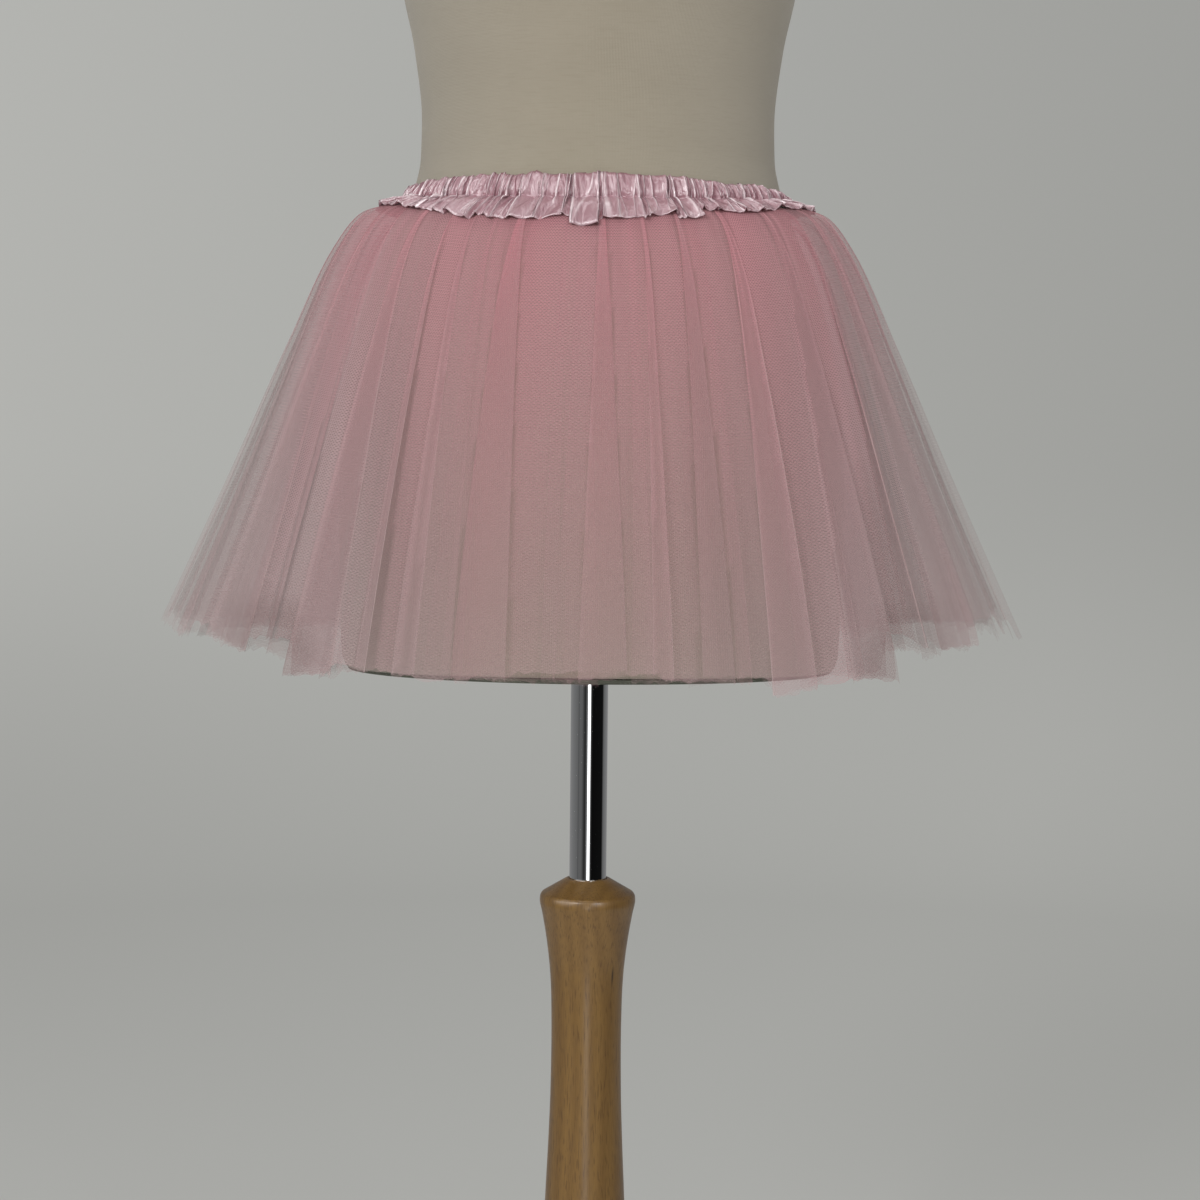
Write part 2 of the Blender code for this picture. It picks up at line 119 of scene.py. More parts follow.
class Tree:
    """The nodes of one material, built from nothing but a Principled shader and its output."""

    def __init__(self, name: str) -> None:
        """Make the named material and find its shader.

        Args:
            name: The material's name.
        """
        self.material = bpy.data.materials.new(name)
        self.material.use_nodes = True
        self.nodes = self.material.node_tree.nodes
        self.links = self.material.node_tree.links
        self.shader = self.nodes["Principled BSDF"]

    def add(self, kind: str, settings: dict[str, object], sockets: dict[str | int, object], out: str) -> Sock:
        """Add a node.

        Args:
            kind: The node's type.
            settings: Its properties, set first.
            sockets: Values or links of its inputs, by name, identifier or number.
            out: The output wanted, by name or identifier.

        Returns:
            The wanted output.
        """
        node = self.nodes.new(kind)
        for key, value in settings.items():
            setattr(node, key, value)
        for key, value in sockets.items():
            self.feed(self._find(node.inputs, key), value)
        return Sock(self, self._find(node.outputs, out))

    @staticmethod
    def _find(sockets: bpy.types.bpy_prop_collection, key: str | int) -> bpy.types.NodeSocket:
        """Return the socket with that number, identifier or name.

        Args:
            sockets: A node's inputs or outputs.
            key: Which of them.

        Returns:
            The socket.
        """
        if isinstance(key, int):
            return sockets[key]
        for socket in sockets:
            if socket.identifier == key:
                return socket
        return sockets[key]

    def feed(self, socket: bpy.types.NodeSocket, value: object) -> None:
        """Link a socket to value, or set it to value where it is a number or a colour.

        Args:
            socket: The input.
            value: A Sock to link, or a plain value.
        """
        if isinstance(value, Sock):
            self.links.new(value.link, socket)
        elif isinstance(value, tuple) and len(value) == 3 and socket.type == "RGBA":
            socket.default_value = (*value, 1.0)
        else:
            socket.default_value = value

    def dress(self, **inputs: object) -> bpy.types.Material:
        """Set the Principled shader's inputs, with underscores for blanks, and return the material.

        Args:
            **inputs: Values or links, by the input's name.

        Returns:
            The finished material.
        """
        for name, value in inputs.items():
            self.feed(self.shader.inputs[name.replace("_", " ")], value)
        return self.material

    def cut(self) -> Sock:
        """Return the cloth coordinates of a piece: metres round it and along it, from its own UV map."""
        return self.add("ShaderNodeUVMap", {"uv_map": "cut"}, {}, "UV")

    def place(self) -> Sock:
        """Return Object coordinates, which are metres in the part's frame."""
        return self.add("ShaderNodeTexCoord", {}, {}, "Object")

    def scaled(self, vector: Sock, scale: Triple, turn: Triple = (0.0, 0.0, 0.0)) -> Sock:
        """Return the vector turned and then scaled."""
        return self.add("ShaderNodeMapping", {}, {"Vector": vector, "Rotation": turn, "Scale": scale},
                        "Vector")

    def parts(self, vector: Sock) -> tuple[Sock, Sock, Sock]:
        """Return a vector's three numbers.

        Args:
            vector: The vector.

        Returns:
            Its x, y and z.
        """
        split = self.add("ShaderNodeSeparateXYZ", {}, {"Vector": vector}, "X")
        outputs = split.link.node.outputs
        return split, Sock(self, outputs["Y"]), Sock(self, outputs["Z"])

    def noise(self, vector: Sock, scale: float, detail: float = 2.0, roughness: float = 0.5,
              distortion: float = 0.0) -> Sock:
        """Return soft noise from 0 to 1."""
        return self.add("ShaderNodeTexNoise", {}, {"Vector": vector, "Scale": scale, "Detail": detail,
                                                   "Roughness": roughness, "Distortion": distortion}, "Fac")

    def grain(self, vector: Sock, scale: Triple, detail: float = 2.0, roughness: float = 0.5,
              distortion: float = 0.0) -> Sock:
        """Return soft noise from 0 to 1 with a scale of its own each way."""
        return self.noise(self.scaled(vector, scale), 1.0, detail, roughness, distortion)

    def attribute(self, name: str) -> Sock:
        """Return a piece's own number at each point."""
        return self.add("ShaderNodeAttribute", {"attribute_name": name}, {}, "Fac")

    def mix(self, share: Sock | float, first: Sock | Colour, second: Sock | Colour) -> Sock:
        """Return first turned into second by the given share."""
        return self.add("ShaderNodeMix", {"data_type": "RGBA"},
                        {"Factor_Float": share, "A_Color": first, "B_Color": second}, "Result_Color")

    def bump(self, height: Sock, depth: float) -> Sock:
        """Return a normal from a height of 0 to 1 that stands for a depth in metres."""
        return self.add("ShaderNodeBump", {}, {"Height": height, "Distance": depth, "Strength": 1.0},
                        "Normal")


# ---- finishes -----------------------------------------------------------------------------------------

@dataclass(frozen=True)
class NetFinish:
    """Soft hexagonal net, whose threads cover more where the cloth is crowded or stands edge on."""

    thread: Colour = (0.76, 0.335, 0.380)
    # A greyer pink, mixed in partly as painted shade towards the hem and sides and partly as random tone.
    grey_and_shade: Colour = (0.53, 0.395, 0.395)
    # Painted shade, for the gap, the hem clear of the form and the form's outline.
    shaded: Colour = (0.27, 0.175, 0.170)
    # Painted highlight on creases seen edge on.
    glint: Colour = (0.88, 0.74, 0.72)
    cover: float = 0.185
    cell: float = 0.0013
    row_pitch: float = 0.0021
    row_depth: float = 0.09
    hole_depth: float = 0.16
    most_cover: float = 0.97

    def material(self, name: str) -> bpy.types.Material:
        """Return the net's material.

        The net is three plane waves 60 degrees apart, whose sum peaks in the middle of each hole, and reads
        cos(a) + 2 cos(a / 2) cos(b) for a down the cloth and b round it. Courses of knitting add a fine
        wave along the cloth. Alpha is the share that the threads cover, times the piece's own crowding.
        Each piece also says where the net greys, with painted shade and random streaks, where painted shade
        darkens it and where a crease has a painted highlight.

        Args:
            name: The material's name.

        Returns:
            The material, which reads crowding, greying, painted shade and crease highlight from its piece.
        """
        tree = Tree(name)
        round_cloth, down_cloth, _ = tree.parts(tree.cut())
        wave = TURN * 2.0 / (math.sqrt(3.0) * self.cell)
        down, round_body = down_cloth * wave, round_cloth * (wave * 0.5 * math.sqrt(3.0))
        holes = down.cosine() + 2.0 * (down * 0.5).cosine() * round_body.cosine()
        courses = (down_cloth * (TURN / self.row_pitch)).cosine()
        threads = 1.0 + self.row_depth * courses - self.hole_depth * holes
        alpha = tree.attribute("crowding") * self.cover * threads
        # Greying: painted shade towards the hem and sides, and random streaks of tone.
        colour = tree.mix(tree.attribute("grey_and_shade"), self.thread, self.grey_and_shade)
        # Painted shade in the gap, on the hem clear of the form and over the form's outline.
        colour = tree.mix(tree.attribute("painted_shade"), colour, self.shaded)
        # Painted highlight along creases that turn edge on.
        colour = tree.mix(tree.attribute("crease"), colour, self.glint)
        return tree.dress(Base_Color=colour, Roughness=0.85, Specular_IOR_Level=0.0,
                          Alpha=alpha.maths("MINIMUM", self.most_cover))


@dataclass(frozen=True)
class SatinFinish:
    """Polyester satin ribbon: smooth floats that shine across the gathers."""

    colour: Colour = (0.47, 0.280, 0.315)
    # Painted shade in the hollows between gathers and on the turned-under edge.
    shade_tone: Colour = (0.38, 0.185, 0.220)
    # Painted highlight along crests and folds.
    glint: Colour = (1.0, 0.83, 0.87)

    def material(self, name: str) -> bpy.types.Material:
        """Return the satin's material: fine warp lines, sharp little crumples, painted shade in the hollows
        and a painted highlight along the crests.

        Args:
            name: The material's name.

        Returns:
            The material, which reads painted shade and painted highlight from its piece.
        """
        tree = Tree(name)
        cut = tree.cut()
        floats = tree.grain(cut, (420.0, 5200.0, 1.0), 1.0)
        crumple = tree.grain(cut, (420.0, 110.0, 1.0), 2.0, 0.55, 0.5)
        broad = tree.grain(cut, (150.0, 48.0, 1.0), 2.0, 0.5, 0.8)
        ridges = 1.0 - (crumple - 0.5).maths("ABSOLUTE") * 4.0
        bends = 1.0 - (broad - 0.5).maths("ABSOLUTE") * 4.0
        # Painted shade in the hollows.
        colour = tree.mix(tree.attribute("painted_shade"), self.colour, self.shade_tone)
        # Painted highlight along the crests, broken up by noise.
        shine = tree.attribute("glint") * broad.ramp(0.36, 0.56, 0.45, 1.10)
        colour = tree.mix(shine.maths("MINIMUM", 1.0), colour, self.glint)
        height = ridges * 0.45 + bends * 1.1 + floats * 0.10
        return tree.dress(Base_Color=colour, Roughness=floats.ramp(0.2, 0.8, 0.15, 0.22),
                          Specular_IOR_Level=0.85, Anisotropic=0.4,
                          Coat_Weight=shine * 0.55 + 0.4, Coat_Roughness=0.10,
                          Normal=tree.bump(height, 0.0007))


@dataclass(frozen=True)
class ThreadFinish:
    """Polyester sewing thread."""

    light: Colour = (0.74, 0.47, 0.52)
    dark: Colour = (0.60, 0.34, 0.39)

    def material(self, name: str) -> bpy.types.Material:
        """Return the thread's material, with its twist as fine slanted bands.

        Args:
            name: The material's name.

        Returns:
            The material.
        """
        tree = Tree(name)
        twist = tree.noise(tree.scaled(tree.place(), (2600.0, 2600.0, 900.0), (0.5, 0.5, 0.0)), 1.0)
        return tree.dress(Base_Color=tree.mix(twist.ramp(0.3, 0.7), self.light, self.dark), Roughness=0.5)


@dataclass(frozen=True)
class JerseyFinish:
    """Cream cotton jersey stretched over the form."""

    light: Colour = (0.387, 0.342, 0.268)
    dark: Colour = (0.342, 0.300, 0.230)
    # Painted light: the flanks are mixed towards this greyer, lighter cream.
    flank: Colour = (0.370, 0.360, 0.325)
    wale: float = 0.0011

    def material(self, name: str) -> bpy.types.Material:
        """Return the jersey's material: knit loops, faint slubs and soft mottling, with painted light that
        greys and slightly lightens the flanks.

        Args:
            name: The material's name.

        Returns:
            The material.
        """
        tree = Tree(name)
        cut = tree.cut()
        round_cloth, down_cloth, _ = tree.parts(cut)
        wales = (round_cloth * (TURN / self.wale)).cosine()
        courses = (down_cloth * (TURN / (0.8 * self.wale))).cosine()
        knit = (wales * 0.6 + courses * 0.4) * 0.5 + 0.5
        mottled = tree.noise(tree.place(), 9.0, 4.0, 0.6)
        slubs = tree.grain(cut, (55.0, 900.0, 1.0))
        share = mottled.ramp(0.30, 0.70, 0.0, 0.55) + slubs.ramp(0.45, 0.75, 0.0, 0.35)
        across, _, _ = tree.parts(tree.place())
        colour = tree.mix(share + knit * 0.10, self.light, self.dark)
        # Painted light on the flanks, growing with the square of x.
        colour = tree.mix((across * across * 22.0).maths("MINIMUM", 0.6), colour, self.flank)
        return tree.dress(Base_Color=colour, Roughness=0.92,
                          Specular_IOR_Level=0.2, Sheen_Weight=0.15, Sheen_Roughness=0.6,
                          Normal=tree.bump(knit * 0.6 + slubs * 0.4, 0.00022))


@dataclass(frozen=True)
class BoardFinish:
    """Grey-green painted board under the form."""

    colour: Colour = (0.085, 0.090, 0.066)
    worn: Colour = (0.150, 0.150, 0.110)

    def material(self, name: str) -> bpy.types.Material:
        """Return the board's material: flat paint, rubbed in patches.

        Args:
            name: The material's name.

        Returns:
            The material.
        """
        tree = Tree(name)
        worn = tree.noise(tree.place(), 42.0, 5.0, 0.65)
        return tree.dress(Base_Color=tree.mix(worn.ramp(0.48, 0.72), self.colour, self.worn), Roughness=0.62,
                          Normal=tree.bump(worn, 0.0002))


@dataclass(frozen=True)
class ChromeFinish:
    """Polished chrome tube."""

    colour: Colour = (0.80, 0.81, 0.82)

    def material(self, name: str) -> bpy.types.Material:
        """Return the chrome's material, with faint smears in its gloss.

        Args:
            name: The material's name.

        Returns:
            The material.
        """
        tree = Tree(name)
        smears = tree.grain(tree.place(), (60.0, 60.0, 14.0), 4.0, 0.6)
        return tree.dress(Base_Color=self.colour, Metallic=1.0,
                          Roughness=smears.ramp(0.35, 0.75, 0.035, 0.085))


@dataclass(frozen=True)
class BeechFinish:
    """Lacquered steamed beech, with its grain along Z."""

    light: Colour = (0.235, 0.130, 0.034)
    dark: Colour = (0.140, 0.070, 0.016)
    fleck: Colour = (0.080, 0.036, 0.009)
    mark: Colour = (0.03, 0.015, 0.007)
    streaks: tuple[tuple[Triple, float], ...] = (((0.0172, -0.0180, 0.4885), 0.10),
                                                 ((0.0185, -0.0150, 0.5465), 0.60))

    def material(self, name: str) -> bpy.types.Material:
        """Return the beech's material.

        Year rings are bands across a slanted direction, bent by noise that is long in the grain. Rays show
        as short narrow flecks along the grain. Each of streaks is a dark mark: its place, and how much its
        length is shrunk when its distance is taken.

        Args:
            name: The material's name.

        Returns:
            The material.
        """
        tree = Tree(name)
        place = tree.place()
        bend = tree.grain(place, (9.0, 9.0, 1.6), 3.0, 0.55)
        across = tree.parts(tree.scaled(place, (1.0, 1.0, 0.05), (0.0, 0.05, 0.6)))[0]
        rings = (across * 700.0 + bend * 34.0).cosine() * 0.5 + 0.5
        flecks = tree.grain(place, (1100.0, 1100.0, 95.0), 1.0).ramp(0.57, 0.70)
        pores = tree.grain(place, (1500.0, 1500.0, 60.0))
        warm = tree.grain(place, (16.0, 16.0, 2.0))
        share = rings * 0.34 + warm.ramp(0.3, 0.7, 0.0, 0.30) + pores.ramp(0.35, 0.75, 0.0, 0.42)
        colour = tree.mix(flecks * 0.62, tree.mix(share, self.light, self.dark), self.fleck)
        for middle, shrunk in self.streaks:
            away = tree.add("ShaderNodeVectorMath", {"operation": "SUBTRACT"}, {0: place, 1: middle},
                            "Vector")
            near = tree.add("ShaderNodeVectorMath", {"operation": "LENGTH"},
                            {0: tree.scaled(away, (1.0, 1.0, shrunk))}, "Value")
            marked = (near + pores * 0.0005).ramp(0.0004, 0.0016, 0.92, 0.0)
            colour = tree.mix(marked, colour, self.mark)
        return tree.dress(Base_Color=colour, Roughness=pores.ramp(0.3, 0.7, 0.34, 0.46), Coat_Weight=0.35,
                          Coat_Roughness=0.20, Normal=tree.bump(pores * 0.6 + (1.0 - flecks) * 0.4, 0.00008))


# ---- surfaces -----------------------------------------------------------------------------------------

class Run(Enum):
    """Which way the rows of a surface run, which decides the side its faces look to."""

    DOWN = "down"
    UP = "up"


class Ends(Enum):
    """How a surface's first and last rows finish: as edges, on a middle point each, or joined together."""

    OPEN = "open"
    POLES = "poles"
    LOOP = "loop"


def smooth(at: Array | float, places: list[float], values: list[float]) -> Array:
    """Read a table along a smooth curve that passes through every row and never overshoots.

    Each stretch is a cubic whose slope at a row is the harmonic mean of the slopes on both sides, or nothing
    where they differ in sign.

    Args:
        at: Where to read.
        places: The rows' places, rising.
        values: The rows' values.

    Returns:
        The values there, in the shape of at.
    """
    x, y = np.asarray(places, float), np.asarray(values, float)
    gap, rise = np.diff(x), np.diff(y)
    slope = rise / gap
    same = slope[:-1] * slope[1:] > 0.0
    total = np.where(same, slope[:-1] + slope[1:], 1.0)
    middle = np.where(same, 2.0 * slope[:-1] * slope[1:] / total, 0.0)
    tangent = np.concatenate([slope[:1], middle, slope[-1:]])
    where = np.clip(np.asarray(at, float), x[0], x[-1])
    low = np.clip(np.searchsorted(x, where, side="right") - 1, 0, len(x) - 2)
    t = (where - x[low]) / gap[low]
    return (y[low] * (1.0 + 2.0 * t) * (1.0 - t) ** 2 + gap[low] * tangent[low] * t * (1.0 - t) ** 2
            + y[low + 1] * t ** 2 * (3.0 - 2.0 * t) + gap[low] * tangent[low + 1] * t ** 2 * (t - 1.0))


def eased(share: Array) -> Array:
    """Return a share held between 0 and 1 and eased: three times its square less twice its cube."""
    held = np.clip(share, 0.0, 1.0)
    return held * held * (3.0 - 2.0 * held)


def ripples(turns: Array, counts: tuple[int, int], seed: int, terms: int = 14) -> Array:
    """Return uneven waves round the body, of root mean square 1.

    The sum of sines with seeded phases and whole numbers of waves between two counts, so that it closes.

    Args:
        turns: Places round the body, 1 to a turn.
        counts: The least and the most waves in a turn.
        seed: The seed.
        terms: How many sines are added up.

    Returns:
        The waves, in the shape of turns.
    """
    chance = np.random.default_rng(seed)
    total = np.zeros_like(turns, dtype=float)
    for number in chance.integers(counts[0], counts[1] + 1, terms):
        total += chance.uniform(0.6, 1.4) * np.sin(TURN * (number * turns + chance.uniform()))
    return total / math.sqrt(0.5 * terms * 1.05)


def oval(angles: Array, half_width: Array, front: Array, back: Array, z: Array) -> Array:
    """Return an oval's points: half width times the sine across, and minus depth times the cosine in y.

    Args:
        angles: Angles round the body.
        half_width: Its half width.
        front: Its depth before the axis.
        back: Its depth behind the axis.
        z: Its height.

    Returns:
        The points, in the arrays' joint shape and with x, y and z last.
    """
    depth = np.where(np.cos(angles) > 0.0, front, back)
    x = half_width * np.sin(angles)
    y = -depth * np.cos(angles)
    return np.stack(np.broadcast_arrays(x, y, z), axis=-1)


def even_angles(columns: int) -> Array:
    """Return one angle for each column, evenly round the body from the front."""
    return np.arange(columns) * TURN / columns


def circles(angles: Array, radius: list[float], z: list[float]) -> Array:
    """Return a turned surface's points: one circle of each radius at its height."""
    across = np.asarray(radius)[:, None]
    return oval(angles[None, :], across, across, across, np.asarray(z)[:, None])


def running_total(steps: Array) -> Array:
    """Return the sum of the steps so far, from 0 before the first."""
    return np.concatenate([[0.0], np.cumsum(steps)])


def cut_grid(girth: float, columns: int, down: Array) -> Array:
    """Return a grid's cloth coordinates: metres round the piece, from 0 to girth, and metres down it."""
    round_cloth = girth * np.arange(columns + 1) / columns
    return np.stack(np.broadcast_arrays(round_cloth[None, :], down), axis=-1)


def side_to_front(side: float, front: float, angles: Array) -> Array:
    """Return a size blended from its value at the sides to that at front and back by the squared cosine."""
    return side + (front - side) * np.cos(angles) ** 2


def unit(vectors: Array) -> Array:
    """Return vectors scaled to length 1."""
    return vectors / np.maximum(np.linalg.norm(vectors, axis=-1, keepdims=True), 1e-12)


@dataclass
class Surface:
    """A grid of points, rows down the piece by columns round it, that closes round the body.

    cut holds the cloth coordinates of the grid with the first column repeated at the end, and the first row
    too where the rows join in a loop. values are the named numbers that its material reads at each point.
    """

    points: Array
    cut: Array
    run: Run = Run.DOWN
    ends: Ends = Ends.OPEN
    values: dict[str, Array] = field(default_factory=dict)

    @staticmethod
    def caps(number: Array, beside: Array, seam: Array) -> tuple[Array, Array]:
        """Number the triangles that close the first row and the last, each on a middle point of its own.

        Args:
            number: The points' numbers, row by row.
            beside: The numbers of the next points in their rows.
            seam: The cloth coordinates' numbers, row by row.

        Returns:
            The triangles' points and their corners' cloth coordinates.
        """
        middle = np.full(len(number[0]), number.size)
        top = np.stack([beside[0], number[0], middle], axis=-1)
        foot = np.stack([number[-1], beside[-1], middle + 1], axis=-1)
        top_cut = np.stack([seam[0, 1:], seam[0, :-1], seam[0, :-1]], axis=-1)
        foot_cut = np.stack([seam[-1, :-1], seam[-1, 1:], seam[-1, 1:]], axis=-1)
        return np.concatenate([top, foot]), np.concatenate([top_cut, foot_cut])

    def make(self, name: str, material: bpy.types.Material) -> bpy.types.Object:
        """Return the surface as a smooth-shaded object at the origin, with its faces outward.

        Args:
            name: The name of the object and its mesh.
            material: Its finish.

        Returns:
            The object, linked and riding on the body.
        """
        rows, columns = self.points.shape[:2]
        number = np.arange(rows * columns).reshape(rows, columns)
        beside = np.roll(number, -1, axis=1)
        if self.ends is Ends.LOOP:
            number, beside = np.vstack([number, number[:1]]), np.vstack([beside, beside[:1]])
        quads = np.stack([number[:-1], beside[:-1], beside[1:], number[1:]], axis=-1).reshape(-1, 4)
        seam = np.arange(self.cut[..., 0].size).reshape(self.cut.shape[:2])
        corners = np.stack([seam[:-1, :-1], seam[:-1, 1:], seam[1:, 1:], seam[1:, :-1]], axis=-1)
        corners = corners.reshape(-1, 4)
        points, cut = self.points.reshape(-1, 3), self.cut.reshape(-1, 2)
        caps, cap_corners = np.zeros((0, 3), int), np.zeros((0, 3), int)
        if self.ends is Ends.POLES:
            caps, cap_corners = self.caps(number, beside, seam)
            points = np.concatenate([points, self.points[[0, -1]].mean(axis=1)])
        if self.run is Run.DOWN:
            quads, corners = quads[:, ::-1], corners[:, ::-1]
            caps, cap_corners = caps[:, ::-1], cap_corners[:, ::-1]
        sizes = np.concatenate([np.full(len(quads), 4), np.full(len(caps), 3)])
        mesh = build_mesh(name, points, np.concatenate([quads.ravel(), caps.ravel()]), sizes)
        layer = mesh.uv_layers.new(name="cut")
        layer.data.foreach_set("uv", cut[np.concatenate([corners.ravel(), cap_corners.ravel()])].ravel())
        for key, value in self.values.items():
            held = np.zeros(len(points), np.float32)
            held[:rows * columns] = np.broadcast_to(value, (rows, columns)).ravel()
            mesh.attributes.new(key, "FLOAT", "POINT").data.foreach_set("value", held)
        return link_piece(name, mesh, material)


def build_mesh(name: str, points: Array, corners: Array, sizes: Array) -> bpy.types.Mesh:
    """Return a smooth mesh.

    Args:
        name: The mesh's name.
        points: Its points.
        corners: The points of every face in turn.
        sizes: How many corners each face has.

    Returns:
        The mesh, not yet linked to an object.
    """
    mesh = bpy.data.meshes.new(name)
    mesh.vertices.add(len(points))
    mesh.vertices.foreach_set("co", np.asarray(points, np.float32).ravel())
    mesh.loops.add(len(corners))
    mesh.loops.foreach_set("vertex_index", corners.astype(np.int32))
    mesh.polygons.add(len(sizes))
    mesh.polygons.foreach_set("loop_start", np.concatenate([[0], np.cumsum(sizes)[:-1]]).astype(np.int32))
    mesh.update(calc_edges=True)
    mesh.validate()
    mesh.shade_smooth()
    return mesh


def link_piece(name: str, mesh: bpy.types.Mesh, material: bpy.types.Material) -> bpy.types.Object:
    """Return a new object with that mesh and material, riding on the body.

    Args:
        name: The object's name.
        mesh: Its mesh.
        material: Its finish.

    Returns:
        The object.
    """
    mesh.materials.append(material)
    made = bpy.data.objects.new(name, mesh)
    bpy.context.collection.objects.link(made)
    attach(made, BODY)
    return made


def many(copies: Array, faces: Array) -> tuple[Array, Array, Array]:
    """Number the faces of one shape on over all of its copies.

    Args:
        copies: Every copy's points, copies x points x 3.
        faces: One copy's faces, all of one size.

    Returns:
        The points, face corners and face sizes that build_mesh takes.
    """
    step = np.arange(len(copies))[:, None, None] * copies.shape[1]
    corners = (faces[None] + step).reshape(-1)
    return copies.reshape(-1, 3), corners, np.full(len(copies) * len(faces), faces.shape[1])


# ---- dress form and stand -----------------------------------------------------------------------------

@dataclass(frozen=True)
class FormRing:
    """One section of the torso: its height, half width, and depth before and behind the axis."""

    z: float
    half_width: float
    front: float
    back: float


FORM_RINGS = [FormRing(*row) for row in (
    (0.6961, 0.1635, 0.1120, 0.1180),
    (0.7005, 0.1660, 0.1145, 0.1205),
    (0.7400, 0.1675, 0.1155, 0.1235),
    (0.8000, 0.1685, 0.1145, 0.1265),
    (0.8600, 0.1665, 0.1120, 0.1265),
    (0.9100, 0.1585, 0.1075, 0.1185),
    (0.9500, 0.1470, 0.1015, 0.1065),
    (0.9800, 0.1350, 0.0955, 0.0960),
    (0.9980, 0.1275, 0.0915, 0.0900),
    (1.0130, 0.1225, 0.0885, 0.0860),
    (1.0300, 0.1192, 0.0868, 0.0835),
    (1.0550, 0.1186, 0.0870, 0.0828),
    (1.1000, 0.1234, 0.0930, 0.0868),
    (1.1400, 0.1317, 0.1010, 0.0925),
    (1.1850, 0.1385, 0.1110, 0.0965),
    (1.2250, 0.1412, 0.1165, 0.0990),
    (1.2650, 0.1420, 0.1130, 0.1005),
    (1.3100, 0.1455, 0.1000, 0.0995),
    (1.3550, 0.1540, 0.0820, 0.0930),
    (1.3850, 0.1545, 0.0700, 0.0830),
    (1.4060, 0.1390, 0.0605, 0.0715),
    (1.4230, 0.1050, 0.0530, 0.0610),
    (1.4380, 0.0720, 0.0485, 0.0540),
    (1.4560, 0.0570, 0.0465, 0.0500),
    (1.4900, 0.0535, 0.0465, 0.0475),
    (1.4980, 0.0490, 0.0425, 0.0435))]


def torso_sizes(z: Array) -> list[Array]:
    """Return the torso's half width and its depths before and behind the axis, read smoothly at heights z.

    Args:
        z: The heights.

    Returns:
        The three sizes, each in the shape of z.
    """
    heights = [ring.z for ring in FORM_RINGS]
    return [smooth(z, heights, [getattr(ring, key) for ring in FORM_RINGS])
            for key in ("half_width", "front", "back")]


